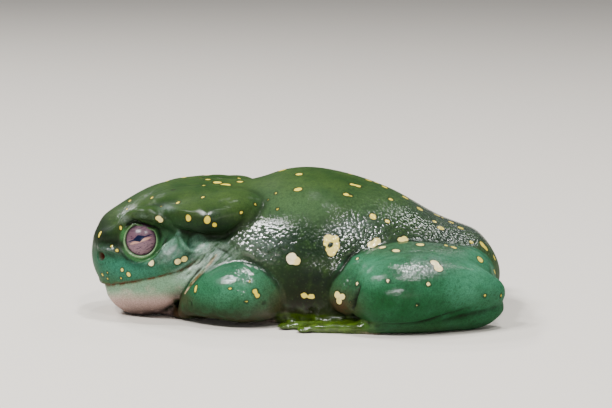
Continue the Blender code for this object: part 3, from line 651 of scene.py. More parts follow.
def sculpted(mesh, r=relief):
    points, edges = meshArrays(mesh)
    points = softenedThigh(points, edges)
    mesh.vertices.foreach_set("co", points.ravel())
    mesh.update()
    normals = normalsOf(mesh)
    tree = skinTree(points, mesh)
    p = bothSides(points)
    push = np.zeros(len(p))
    for name, pixels, width, height in folds:
        away, share = offPath(p, onSkin(tree, pixels))
        push += formed(away, (height, 0, width)) * np.sin(math.pi * np.clip(share, *r["foldEnds"]))
    # the mouth: a groove on the lip line, the lower jaw a little behind the upper lip
    above = p[:, 2] - alongTable(face["mouth"], p[:, 0])[:, 0]
    push += step(*r["mouthEnd"], p[:, 0]) * (
        formed(above, r["lipGroove"]) + formed(above, r["upperLip"])
        - r["jawSet"] * step(*r["jawTop"], above) * step(*r["jawLow"], above))
    # the nostril: a pit in a low rim
    nose = noseReach(p)
    push += formed(nose, r["nostrilPit"]) + formed(nose, r["nostrilRim"])
    # the eardrum: a sunk disc in a low ring
    radius, height = aroundAxis(p, face["earAt"], face["earAxis"])
    push += step(*r["earDepth"], np.abs(height)) * (
        formed(radius, r["earRing"]) - r["drumSet"] * step(*r["drumEdge"], radius))
    points = points + normals * push[:, None]
    # the lids: heights along the eye's axis follow the section, and the ball fills the middle
    for side in (1, -1):
        at = np.array(face["eyeAt"]) * (1, side, 1)
        axis = np.array(face["eyeAxis"]) * (1, side, 1)
        axis = axis / np.linalg.norm(axis)
        radius, height, upness = eyeReach(points, at, axis)
        wanted = alongTable(face["lid"], radius)[:, 0]
        wanted -= formed(radius, r["lidCrease"]) * step(*r["lidCreaseFrom"], upness)
        share = step(face["lidBlend"][1], face["lidBlend"][0], radius) * (height > 0)
        points = points + axis * ((wanted - height) * share)[:, None]
    points[:, 2] = np.maximum(points[:, 2], 0.0)
    mesh.vertices.foreach_set("co", points.ravel())
    mesh.update()
    return points


skinPoints = sculpted(flesh)
print("skin sculpted:", len(skinPoints), "points")


# Spots: seen from the left as (column, row, half width, half height) in the photograph's pixels.
spotsSeen = [
    (99.6, 234, 2.5, 4), (111.6, 246, 1.3, 1.3), (116.8, 250.5, 1.8, 1.8),
    (120.7, 228, 1.5, 2.2), (129.8, 200.7, 2, 1.3), (127, 209, 1, 1), (151.8, 197.6, 1.6, 1.4),
    (173, 189.7, 1.5, 1.2), (177.8, 202.8, 2.3, 2.2), (161.7, 206.3, 1.5, 1.5),
    (158.0, 218.2, 3.0, 2.4), (160.4, 220.4, 2.4, 2.6), (188.5, 217.8, 2.8, 4.3),
    (207.1, 220.3, 3.3, 4.8), (214.4, 225, 2.2, 3.3), (202.9, 197.2, 2.2, 2.0),
    (204, 185.3, 2, 1.4), (207.7, 179.4, 3, 1.4), (217.0, 182.4, 4.4, 2.2),
    (225.5, 184.8, 5.0, 2.6), (240, 181.7, 3.5, 1.7), (241.4, 212.6, 1.8, 1.8),
    (255.4, 204.3, 1.5, 1.5), (276, 193.3, 1.5, 1.3), (268, 200, 1, 1), (277.6, 208.8, 1.2, 1.2),
    (282, 170.1, 5, 2.2), (299, 174.2, 3.5, 2.2), (297.8, 189.5, 4.2, 2.0),
    (291.6, 258.6, 5.6, 5.8), (296.0, 261.0, 4.4, 4.6), (151.3, 263.1, 3.5, 3.4),
    (177.9, 261.7, 3.2, 3.2), (184.5, 258.9, 3.5, 2.9), (122, 270, 1.8, 1.8),
    (128.8, 274.6, 2.3, 2.2), (107.4, 272.7, 1, 1), (102.4, 274.8, 1, 1),
    (107.5, 278.6, 1, 1), (121, 278.3, 1, 1), (195.8, 288.4, 2.0, 4.2), (248.8, 281.5, 1.6, 1.6),
    (255.0, 291.5, 2.8, 2.6), (257.4, 295.6, 2.6, 2.6), (246, 302, 1.8, 1.4),
    (230, 288.5, 2, 1), (263.8, 302.8, 1, 1), (346.0, 194.4, 2.6, 2.0), (350.5, 195.8, 2.0, 1.2),
    (352.2, 184.4, 3.0, 2.0), (358.4, 186.0, 3.2, 1.6), (368.6, 180.2, 3.8, 2.0),
    (376.6, 181.2, 3.4, 1.8), (384.4, 186.8, 4, 2.2), (390.5, 199.1, 2.8, 1.8),
    (405.4, 197.6, 4.2, 2.4), (420, 208.9, 4.2, 2.6), (437.1, 215.2, 4, 2.3),
    (442.6, 217.8, 2.6, 1.2), (451.5, 222.4, 3.6, 1.7), (434.5, 221.6, 2.9, 2.2),
    (440.8, 227.9, 4.2, 2.5), (460.7, 227.9, 3.2, 2.8), (452.4, 232.9, 1, 1),
    (471.4, 242, 2.5, 2.4), (482.6, 244.6, 4.2, 3.6), (486.0, 248.0, 3.2, 3.0),
    (373.1, 216.7, 3.7, 3.6), (387.4, 221.3, 2.5, 2.5), (416.7, 227.9, 1, 1),
    (304.0, 295.4, 3.8, 2.9), (311.0, 296.4, 3.6, 2.7), (371.6, 244.6, 4.0, 3.8),
    (377.0, 241.6, 4.2, 3.8), (382.4, 247.2, 3.3, 1.7), (401.0, 240.2, 3.8, 3.4),
    (405.2, 239.0, 3.4, 4.0), (420.4, 244.7, 4, 2.0), (446.2, 245.4, 2.2, 2.2),
    (453.7, 247.3, 3, 2.9), (480.2, 259.5, 4, 3.5), (494.4, 257.8, 2.2, 3.6),
    (494.7, 271.6, 3.2, 3), (357.2, 258.6, 1.6, 1.6), (356.7, 283.8, 2.1, 2.1),
    (388.2, 281, 2, 1.9), (428.3, 284, 2, 1.9), (434.6, 262.6, 4.6, 5.0),
    (438.2, 267.8, 4.6, 4.8), (396, 250.5, 4, 1.5), (337.0, 295.0, 3.6, 3.8),
    (342.5, 296.5, 3.8, 3.2), (339.0, 301.6, 3.4, 3.0), (350.4, 301.7, 1, 1),
    (484.7, 295.9, 1.5, 1.5), (501.0, 295.6, 1.4, 2.2), (417.5, 304.7, 1, 1),
    (328.3, 238.4, 4.6, 4.2), (335.0, 239.2, 4.2, 4.0), (336.4, 244.6, 3.4, 4.2),
    (331.4, 252.6, 4.6, 3.8), (334.2, 249.4, 3.8, 3.2), (325.8, 243.0, 2.6, 4.2),
    (327.6, 248.8, 2.4, 3.0),
]
spotHole = (330.6, 244.9, 2.0, 2.0)      # the dark heart of the large spot on the flank
spotStyle = {
    "seed": 11, "hiddenCount": 92,
    # where along the body hidden spots may lie, mm: a range, then middles and spreads
    "along": (3, 98), "rumpShare": (80, 12), "headShare": (22, 10),
    "slope": (4, 88),                       # degrees round the body from its side to its top
    "rayFrom": 70, "aimLevel": 12,          # mm
    "size": (-0.55, 0.5),                   # middle and spread of the size's logarithm
    "smallest": 0.28, "largest": 1.5, "oval": (0.7, 1.2),      # mm; height as a share of width
    "ends": (1.0, 98.0), "lowest": 9, "offMiddle": 1.5, "offEye": 6.5, "gap": 1.2,     # mm
    "yellowBelow": 0.95, "creamAbove": 1.2,           # mean half size, mm
    "wobble": 0.2, "wobbleSize": 2.2,                 # how far and how often an edge waves, mm
    "wobbleSeed": 5, "waves": 6, "waveSpread": (0.7, 1.4),
    "rimReach": 2.5, "holeInset": 0.05,               # mm
}


def seenSpots(tree):
    # each spot becomes a place on the skin and two half sizes in mm
    made = []
    for column, row, wide, high in spotsSeen:
        hit = onSkin(tree, [(column, row)])
        if len(hit):
            near = (hit[0] - viewFrom) @ viewAhead / view["distance"]
            made.append((*hit[0], wide * view["pixel"] * near, high * view["pixel"] * near))
    return made


def hiddenSpots(tree, s=spotStyle):
    # the far side: seeded places, most on the back and rump, laid on by a sideways ray
    draw = np.random.default_rng(s["seed"])
    made = []
    while len(made) < s["hiddenCount"]:
        x = draw.choice([draw.uniform(*s["along"]), draw.normal(*s["rumpShare"]),
                         draw.normal(*s["headShare"])])
        slope = math.radians(draw.uniform(*s["slope"]))
        origin = Vector((x, s["rayFrom"] * math.cos(slope),
                         s["aimLevel"] + s["rayFrom"] * math.sin(slope)))
        aim = Vector((x, 0, s["aimLevel"])) - origin
        hit = tree.ray_cast(origin, aim.normalized())[0]
        size = float(np.clip(draw.lognormal(*s["size"]), s["smallest"], s["largest"]))
        if hit is None or not s["ends"][0] < x < s["ends"][1] or hit.z < s["lowest"]:
            continue
        at = np.array(hit[:])
        onEye = np.linalg.norm(at - np.array(face["eyeAt"]) * (1, -1, 1)) < s["offEye"]
        crowdedSpot = any(np.linalg.norm(at - m[:3]) < m[3] + size + s["gap"] for m in made)
        if not onEye and not crowdedSpot and at[1] > s["offMiddle"]:
            made.append((*at, size, size * draw.uniform(*s["oval"])))
    return made


def wobble(points, s=spotStyle):
    # a smooth, seeded mix of sine waves of about one wavelength, between -1 and 1
    draw = np.random.default_rng(s["wobbleSeed"])
    total = np.zeros(len(points))
    for turn in range(s["waves"]):
        way = draw.normal(size=3)
        way *= (2 * math.pi / s["wobbleSize"] / np.linalg.norm(way)
                * draw.uniform(*s["waveSpread"]))
        total += np.sin(points @ way + draw.uniform(0, 6.3))
    return total / s["waves"]


def spotEdge(points, tree, s=spotStyle):
    # signed distance in mm to the nearest spot's wavy edge, negative inside, and how yellow
    best, yellow = np.full(len(points), farOff), np.zeros(len(points))
    seen = seenSpots(tree)
    bend = wobble(points)

    def toEdge(x, y, z, wide, high):
        far = np.linalg.norm(points - (x, y, z), axis=1)
        close = np.flatnonzero(far < max(wide, high) + s["rimReach"])
        away = points[close] - (x, y, z)
        upward = away @ viewUp
        level = np.sqrt(np.maximum((away ** 2).sum(axis=1) - upward ** 2, 0))
        scale = np.sqrt((level / wide) ** 2 + (upward / high) ** 2)
        edge = (scale - 1) * math.sqrt(wide * high) + bend[close] * s["wobble"]
        return close, edge

    for spot in seen + hiddenSpots(tree):
        close, edge = toEdge(*spot)
        nearer = close[edge < best[close]]
        best[close] = np.minimum(best[close], edge)
        size = math.sqrt(spot[3] * spot[4])
        cream = blobs(np.array([spot[:3]]), tones["cream"])[0]
        yellow[nearer] = step(s["creamAbove"], s["yellowBelow"], size) * (1 - cream)
    at = onSkin(tree, [spotHole[:2]])[0]
    close, edge = toEdge(*at, spotHole[2] * view["pixel"], spotHole[3] * view["pixel"])
    best[close] = np.maximum(best[close], -edge - s["holeInset"])
    return best, yellow


def blobs(points, places):
    # soft ovals in the side view: x, z, reach along, reach up, strength; the strongest wins
    total = np.zeros(len(points))
    for x, z, along, up, strength in places:
        oval = ((points[:, 0] - x) / along) ** 2 + ((points[:, 2] - z) / up) ** 2
        total = np.maximum(total, strength * np.exp(-oval))
    return total


# Tones of the skin in the side view, each a list of soft ovals: x, z, reach along, reach up, mm,
# and strength.
tones = {
    # dark skin of the flank and rump; on the gland's underside and in the band over the canthus it
    # is painted shade
    "dark": [(52, 20, 16, 6, 0.9), (60, 22, 12, 5, 0.8), (44, 24, 8, 4, 0.4), (82, 19, 14, 4, 0.7),
             (2, 21, 6, 3.5, 0.8), (54, 12, 12, 5, 1.0), (12, 17.5, 4, 3, 0.4),
             (29.5, 23.6, 9, 3.2, 0.85)],
    # brown: partly the skin's own brown low on the flank and knee, partly painted shade near the
    # floor and between the jaw and the hand
    "brown": [(51, 5, 9, 8, 1.0), (33, 0, 14, 2.0, 0.6), (59.5, 6.0, 4.2, 4.4, 1.0),
              (14, 0, 10, 3.8, 0.9), (22, 6.0, 3.0, 2.2, 0.6), (78, 0.5, 16, 2.5, 0.25),
              (20.5, 1.2, 2.4, 3.0, 1.0), (1, 20, 4, 5, 0.45)],
    "teal": [(10, 13, 12, 4.5, 1.0), (21, 16, 6, 5, 0.9), (27, 14, 7, 5, 0.6)],
    "grain": [(42, 19, 9, 6, 0.7), (56, 20, 12, 6, 0.75), (70, 24, 12, 6, 0.75),
              (86, 19, 13, 7, 0.9), (60, 8, 14, 6, 0.3), (14, 24.0, 8, 2.6, 0.5),
              (25, 15.5, 5, 3, 0.5), (19, 16.5, 4, 3, 0.5), (9, 17, 6, 1.6, 0.4)],
    "limbGrain": [(79, 16, 8, 2.8, 0.5), (62, 11, 2.5, 3, 0.6), (35, 13, 4, 2.5, 0.4)],
    "shadow": [(28, 21.4, 8, 1.5, 1.0), (6.5, 18.6, 6.5, 1.3, 1.0), (4, 20.2, 6, 1.6, 0.5)],
    "neck": [(27.0, 12.5, 2.8, 4.5, 1.0), (29.8, 16.6, 4.6, 2.6, 1.0), (23.2, 11.6, 2.6, 2.0, 0.8)],
    "cream": [(18.5, 13.5, 8, 2.6, 1.0), (16.6, 23.2, 1.6, 2.0, 1.0), (70, 12, 14, 9, 0.8)],
    # paler tops of the arm, legs and back: partly their own tone, partly painted light
    "pale": [(36, 9.5, 9, 5.5, 0.8), (90, 12, 10, 7, 1.0), (66, 15, 6, 4, 0.8),
             (78, 18, 12, 2.5, 0.8), (50, 27, 11, 4.5, 0.9), (68, 27, 10, 4, 0.7)],
    # darker lower legs: partly their own tone, partly painted shade
    "deep": [(72, 7.5, 12, 7, 1.0), (85, 4, 13, 4, 1.0), (44, 8, 4, 5, 0.3)],
    "wet": [(42, 19.8, 7.5, 5.0, 1.0), (64, 21.0, 8.5, 5.0, 1.0), (53, 15.5, 5, 3.2, 0.42),
            (59.5, 16.5, 3, 3.5, 0.8), (80, 21, 18, 7, 1.0), (13, 24.6, 6.0, 2.2, 1.0),
            (29, 25.4, 10, 1.9, 1.0), (20, 16, 6, 3.4, 1.0), (27, 14, 5, 5, 0.9),
            (9, 17, 7, 1.4, 1.0)],
    "limbWet": [(35, 13, 5, 3, 0.9), (78, 15.6, 6.5, 2.4, 1.0), (74.5, 11.4, 2.6, 1.2, 1.0),
                (62, 12.5, 3, 2, 0.4), (52, 2, 12, 3, 0.7)],
    # painted sheen and painted highlights: a pale film over the flank's warts and bright streaks on
    # the canthus, brow, gland, cheek and shank
    "sheen": [(41, 19.5, 5, 3.2, 0.55), (64, 23.5, 5, 2.2, 0.25), (86, 20, 9, 4, 0.2),
              (79.5, 16.0, 4.2, 1.5, 0.95), (6.6, 17.1, 3.6, 0.8, 1.0),
              (9.3, 24.5, 1.8, 0.9, 0.8), (13.5, 25.6, 3, 0.8, 0.35),
              (19.1, 27.4, 1.7, 0.6, 0.55), (19.5, 16.5, 3, 2, 0.35)],
    "wrinkle": [(81, 16.5, 8, 3.0, 1.0), (26, 15, 8, 4, 1.0), (15, 25, 8, 3, 0.8),
                (12, 15, 8, 3, 0.5)],
}


# Where the skin's masks lie, mm; a pair gives where a mask is 0 and where it is 1.
maskPlaces = {
    "limbEdge": (1.12, 1.04),           # from a limb's middle line, as a share of its thickness
    "hand": [(2, 5.4, 4.4), (0, 19.8, 20.4), (0, 36, 33), (1, -25, -24)],
    "toes": [(0, 70, 62), (2, 3.8, 3.0), (1, -13, -15), (0, 44, 45)],
    "thighTop": [(2, 17, 19)], "thighCore": (0.5, 0.9), "thighTopFade": 0.5,
    "jawEdge": (0.15, -0.25), "jawEnd": [(0, 28.5, 26.5)],
    "bellyFacing": (0.2, 0.75), "bellyTop": [(2, 5.5, 2.0)],
    "throatEdge": (-5.0, -1.0), "throatFrom": 8, "throatRun": 14, "throatDrop": 0.22,
    "lipAbove": 0.12, "lipWidth": 0.4, "lipWiden": 0.22, "lipFront": (16, 4),
    "lipEnd": [(0, 30, 26), (0, 27, 24)],
    "drumEdge": 0.8, "drumSide": -10,
    "rimAt": 3.86, "rimWidth": 0.16, "rimDrop": 0.1, "rimWiden": 0.14,
    "rimLow": (0.1, -0.9), "rimHigh": (0.2, 0.8), "rimFade": 0.6,
    "lidOuter": (5.6, 4.9), "lidInner": (3.6, 3.9), "lidTop": (0.5, 0.1),
    # painted shade in the fold over the eye and in the hollow under it
    "foldOverEye": (4.85, 0.42), "foldOverEyeFrom": (0.15, 0.6),
    "hollowUnderEye": (6.0, 0.8), "hollowUnderEyeFrom": (0.2, -0.3), "hollowShare": 0.5,
    "nostril": 0.92,
    # darker olive low on the arms: partly their own tone, partly painted shade
    "oliveLow": [(2, 9.0, 1.0), (0, 52, 42)],
    "wetEdge": (0.15, 0.75), "wetWarts": (0.2, 0.7), "wetWartsFrom": [(0, 30, 34)],
    "wetFacing": (0.05, -0.2),
    # painted shade in creases and hollows: relaxing rounds and the depths over which it comes in
    "creaseShadeRounds": 10, "creaseShadeDepth": (0.0, 0.22),
    "creaseShadeWideRounds": 60, "creaseShadeWide": (0.1, 0.9), "creaseShadeWideShare": 0.75,
    "creaseShadeOffLip": 0.7, "earRimShare": 0.8, "cheekRidgeHighlightShare": 0.7,
}
# the colour layers that carry the masks to the material, three to a layer
maskLayers = {
    "shadeA": ("limb", "jaw", "belly"), "shadeB": ("lip", "foldLine", "neck"),
    "shadeC": ("toes", "rim", "nose"), "toneA": ("dark", "brown", "teal"),
    "toneB": ("grain", "lid", "spot"), "toneC": ("crease", "yellow", "olive"),
    "toneD": ("wrinkle", "throatTop", "pale"), "toneE": ("deep", "drum", "socket"),
    "toneF": ("wet", "ridges", "sheen"),
}


def eyeMasks(p, m=maskPlaces):
    # the lids' pale rim, the green lid, and painted shade in the fold over the eye and the hollow
    # under it, by distance from the eye's axis
    reach, height, upness = eyeReach(p, face["eyeAt"], face["eyeAxis"])
    low = step(*m["rimLow"], upness)
    rim = (bell(reach, m["rimAt"] + m["rimDrop"] * low, m["rimWidth"] + m["rimWiden"] * low)
           * (height > 0) * (1 - m["rimFade"] * step(*m["rimHigh"], upness)))
    lid = (step(*m["lidOuter"], reach) * step(*m["lidInner"], reach) * (height > 0)
           * step(*m["lidTop"], upness))
    over = bell(reach, *m["foldOverEye"]) * step(*m["foldOverEyeFrom"], upness)
    under = bell(reach, *m["hollowUnderEye"]) * step(*m["hollowUnderEyeFrom"], upness)
    socket = (over + m["hollowShare"] * under) * (height > -1)
    return rim, lid, np.clip(socket, 0, 1)


def skinMasks(points, mesh, m=maskPlaces):
    # each mask is 0 to 1 at every point, from its place on the body, its facing or a path;
    # the spots' mask is a distance in mm
    tree = skinTree(points, mesh)
    p = bothSides(points)
    normals = normalsOf(mesh)
    down = -normals[:, 2]
    # how far a point lies inside its relaxed neighbourhood: creases get painted shade, ridges don't
    edges = meshArrays(mesh)[1]
    near = relaxed(points, edges, m["creaseShadeRounds"])
    inside = ((near - points) * normals).sum(axis=1)
    wider = ((relaxed(near, edges, m["creaseShadeWideRounds"]) - points) * normals).sum(axis=1)
    limbs = {form: tubeNear(p, limbForms[form])
             for form in ("arm", "palm", "thigh", "shank", "tarsus")}
    limb = step(*m["limbEdge"], np.minimum.reduce(list(limbs.values())))
    limb = np.maximum(limb, window(p, m["hand"]))
    limb *= 1 - (step(*m["thighCore"], limbs["thigh"]) * window(p, m["thighTop"])
                 * m["thighTopFade"])
    body = 1 - limb
    above = p[:, 2] - alongTable(face["mouth"], p[:, 0])[:, 0]
    lipWidth = m["lipWidth"] + m["lipWiden"] * step(*m["lipFront"], p[:, 0])
    throatAbove = above + m["throatDrop"] * np.clip(p[:, 0] - m["throatFrom"], 0, m["throatRun"])
    # the fold's tan edge and the ear's paler rim along their paths, and the painted highlight along
    # the cheek ridge
    foldLine, earRim, cheekRidgeHighlight = (
        bell(offPath(p, onSkin(tree, pixels))[0], 0, width)
        for wanted in ("fold edge", "rim of the ear's bowl", "cheek ridge")
        for name, pixels, width, height in folds if name == wanted)
    soft = {name: blobs(p, places) for name, places in tones.items() if name != "cream"}
    jaw = step(*m["jawEdge"], above) * window(p, m["jawEnd"]) * body
    lip = bell(above, m["lipAbove"], lipWidth) * window(p, m["lipEnd"])
    drum = (step(face["earRadius"], face["earRadius"] - m["drumEdge"],
                 aroundAxis(p, face["earAt"], face["earAxis"])[0]) * (p[:, 1] < m["drumSide"]))
    toes = window(p, m["toes"])
    rim, lid, socket = eyeMasks(p)
    edge, yellow = spotEdge(points, tree)
    warts = soft["grain"] * body
    # the floor shows in smooth wet skin only where it faces down, so the film ends there
    film = np.maximum(step(*m["wetWarts"], warts) * window(p, m["wetWartsFrom"]),
                      step(*m["wetFacing"], down))
    # painted shade in creases and broad hollows
    crease = np.maximum(step(*m["creaseShadeDepth"], inside),
                        m["creaseShadeWideShare"] * step(*m["creaseShadeWide"], wider))
    return {
        "limb": limb, "jaw": jaw, "lip": lip, "foldLine": foldLine, "toes": toes, "rim": rim,
        "lid": lid, "socket": socket, "drum": drum, "spot": edge, "yellow": yellow,
        "belly": step(*m["bellyFacing"], down) * (1 - jaw) * body * window(p, m["bellyTop"]),
        "throatTop": step(*m["throatEdge"], throatAbove),
        "nose": np.exp(-(noseReach(p) / m["nostril"]) ** 4),
        "olive": limb * (1 - toes) * window(p, m["oliveLow"]),
        "neck": soft["neck"] * body, "dark": soft["dark"] * body, "teal": soft["teal"] * body,
        "brown": soft["brown"], "wrinkle": soft["wrinkle"], "pale": soft["pale"],
        "deep": soft["deep"], "sheen": soft["sheen"],
        "grain": np.maximum(warts, soft["limbGrain"]),
        "wet": np.maximum(step(*m["wetEdge"], soft["wet"]) * body * film, soft["limbWet"]),
        "crease": (np.maximum(crease, soft["shadow"] * body) * (1 - m["creaseShadeOffLip"] * lip)
                   * (1 - m["creaseShadeOffLip"] * drum)),
        "ridges": np.maximum(m["earRimShare"] * earRim, m["cheekRidgeHighlightShare"] * cheekRidgeHighlight),
    }


masks = skinMasks(skinPoints, flesh)
print("masks worked out:", len(masks))


def finishedPiece(name, mesh, points):
    # moves a mesh from table millimetres to the frame's metres and shades it smooth
    placed = (points + np.array([snoutX, 0, 0])) * metre
    mesh.vertices.foreach_set("co", placed.astype(np.float32).ravel())
    mesh.name = name
    mesh.update()
    mesh.shade_smooth()
    made = bpy.data.objects.new(name, mesh)
    bpy.context.scene.collection.objects.link(made)
    return made


def addMasks(mesh, masksByName):
    for name, channels in masksByName.items():
        layer = mesh.attributes.new(name, "FLOAT_COLOR", "POINT")
        values = np.ones((len(mesh.vertices), 4), dtype=np.float32)
        for k, channel in enumerate(channels):
            values[:, k] = channel
        layer.data.foreach_set("color", values.ravel())


addMasks(flesh, {layer: [masks[name] for name in names]
                 for layer, names in maskLayers.items()})
skin = finishedPiece("skin", flesh, skinPoints)


# Materials.

def linear(code):
    # an sRGB hex colour as linear red, green, blue and 1
    parts = [int(code[k:k + 2], 16) / 255 for k in (1, 3, 5)]
    return [c / 12.92 if c <= 0.04045 else ((c + 0.055) / 1.055) ** 2.4 for c in parts] + [1.0]


def add(tree, kind, settings=None, out=0, **inputs):
    # one node with its settings; an input is a value, or a socket to link from
    made = tree.nodes.new("ShaderNode" + kind)
    for name, value in (settings or {}).items():
        setattr(made, name, value)
    for name, value in inputs.items():
        socket = made.inputs[int(name[1:]) if name[1:].isdigit() else name.replace("_", " ")]
        if isinstance(value, bpy.types.NodeSocket):
            tree.links.new(value, socket)
        else:
            socket.default_value = value
    return made.outputs[out]


def newMaterial(name, sockets):
    made = bpy.data.materials.new(name)
    made.use_nodes = True
    shader = made.node_tree.nodes["Principled BSDF"]
    for socket, value in sockets.items():
        shader.inputs[socket].default_value = value
    return made, made.node_tree, shader


def painted(tree, palette, masks, paint):
    # a paint is a colour's name, or a list: a first paint, then rows laid over it one by one.
    # A row is a paint, its share, and the masks that multiply the share; a mask given with two
    # numbers goes smoothly from 0 at the first to 1 at the second.
    if isinstance(paint, str):
        return linear(palette[paint])
    colour = painted(tree, palette, masks, paint[0])
    for over, share, *factors in paint[1:]:
        for factor in factors:
            name, *span = factor if isinstance(factor, tuple) else (factor,)
            value = masks[name]
            if span:
                value = add(tree, "MapRange", {"interpolation_type": "SMOOTHSTEP"}, Value=value,
                            From_Min=span[0], From_Max=span[1])
            share = value if share == 1 else add(tree, "Math", {"operation": "MULTIPLY"},
                                                 i0=share, i1=value)
        colour = add(tree, "Mix", {"data_type": "RGBA"}, out=2, i0=share, i6=colour,
                     i7=painted(tree, palette, masks, over))
    return colour


wetSkin = {
    # the skin's colours, some of them painted shade, painted shadow, painted sheen and painted
    # highlights
    "colours": {
        "backOlive": "#344a1c", "backDeep": "#203a13", "backPale": "#47643f",
        "grainDark": "#0f2210", "limb": "#1f5434", "limbPale": "#428363", "limbDeep": "#0d4420",
        "limbLow": "#24260f", "flankDark": "#101e18", "brown": "#150c05", "limbBrown": "#463322",
        "sheen": "#72827a", "teal": "#2f6a54", "throat": "#cdaea6", "throatGreen": "#7fa788",
        "belly": "#b9a394", "lip": "#5c3015", "foldPale": "#9fb5a8", "foldEdge": "#6e5330",
        "foldCrest": "#cdb791", "toe": "#344608", "toeGreen": "#4a6810", "lidRim": "#7fa374",
        "lid": "#3f7440", "socket": "#0c1a0a", "drum": "#44705a", "ridge": "#7cb299",
        "nostril": "#4a140c", "crease": "#0b1306", "wartTop": "#6d8f5c",
        "spotCream": "#f0e3bc", "spotYellow": "#dfc93a", "spotShade": "#b9a75a",
        "spotRim": "#0e170b",
    },
    # noise patterns: size in mm and detail
    "patterns": {"broad": (9.0, 3), "blotch": (5.0, 3), "patch": (4.0, 3), "mottle": (2.2, 3),
                 "lipGrain": (1.6, 3), "spotGrain": (0.9, 3), "furrow": (0.7, 3),
                 "pore": (0.3, 2)},
    "noiseRoughness": 0.55,
    "strands": (0.9, 3), "strandStretch": (0.16, 0.6, 1.0), "strandRise": 42,   # degrees
    "wartSize": 0.92,                                                           # mm
    "paint": [
        "backDeep",
        ("backOlive", 1, ("broad", 0.35, 0.65)),
        # paler on top of the back and limbs, darker low on the legs and arms: partly their own
        # tones, partly painted light and shade
        ("backPale", 0.8, "pale"),
        (["limb", ("limbPale", 1, "pale", ("broad", 0.2, 0.6)),
          ("limbDeep", 1, "deep", ("blotch", 0.2, 0.6)),
          ("limbLow", 1, "olive", ("mottle", 0.1, 0.6))], 1, "limb"),
        ("teal", 1, "teal"),
        # dark skin of the flank, and painted shade under the gland and over the canthus
        ("flankDark", 1, "dark", ("mottle", 0.15, 0.55)),
        # painted sheen and painted highlights
        ("sheen", 1, "sheen", ("mottle", 0.3, 0.6)),
        ("belly", 1, "belly"),
        (["throat", ("throatGreen", 1, "throatTop", ("patch", 0.1, 0.55))], 1, "jaw"),
        ("drum", 0.6, "drum"),
        ("foldPale", 1, "neck", ("strands", 0.3, 0.62)),
        # the ear's paler rim, and a painted highlight along the cheek ridge
        ("ridge", 0.6, "ridges"),
        # brown low on the body and knee: partly its own colour, partly painted shade near the floor
        # and between the jaw and the hand
        (["brown", ("limbBrown", 1, "limb")], 1, "brown", ("mottle", 0.05, 0.5)),
        ("lip", 1, "lip", ("lipGrain", 0.25, 0.6)),
        (["toe", ("toeGreen", 1, ("mottle", 0.4, 0.7))], 1, "toes"),
        ("lid", 0.8, "lid"),
        # painted shade in the fold over the eye and the hollow under it
        ("socket", 1, "socket"),
        # painted shade in creases and hollows, and painted shadow under the gland and over the
        # canthus
        ("crease", 1, "crease"),
        ("foldEdge", 1, ("foldLine", 0.2, 0.9), ("mottle", 0.35, 0.65)),
        ("foldCrest", 1, ("foldLine", 0.5, 0.85), ("strands", 0.35, 0.65)),
        ("lidRim", 1, "rim"),
        ("nostril", 1, "nose"),
        ("grainDark", 0.3, ("pore", 0.6, 0.38)),
        # painted shade in the hollows between warts, and painted light on their tops
        ("grainDark", 0.7, "grain", ("warts", 0.28, 0.6)),
        ("wartTop", 0.35, "grain", ("warts", 0.28, 0.08)),
        ("grainDark", 0.35, ("furrow", 0.52, 0.3), ("jaw", 1.0, 0.0)),
        # a spot's mask is the distance to its edge in mm, negative inside
        ("spotRim", 0.7, ("spot", 0.55, 0.05)),
        (["spotCream", ("spotYellow", 1, "yellow"),
          ("spotShade", 0.3, ("spotGrain", 0.55, 0.3))], 1, ("spot", 0.08, -0.1)),
    ],
    "wartBump": 0.00027, "strandBump": 0.0004, "poreBump": 0.00012,     # metres
    "wartBreak": (0.15, 0.5),               # the mottle between which warts rise from 0 to full
    "poreStrength": (0.6, 0.3), "coat": (0.96, 0.03),       # a mask times the first, plus the last
    "shader": {"Roughness": 0.6, "Specular IOR Level": 0.06, "Coat Roughness": 0.05,
               "Coat IOR": 1.8, "Subsurface Weight": 0.1,
               "Subsurface Radius": (0.0014, 0.0011, 0.0006), "Subsurface Scale": 1.0},
}


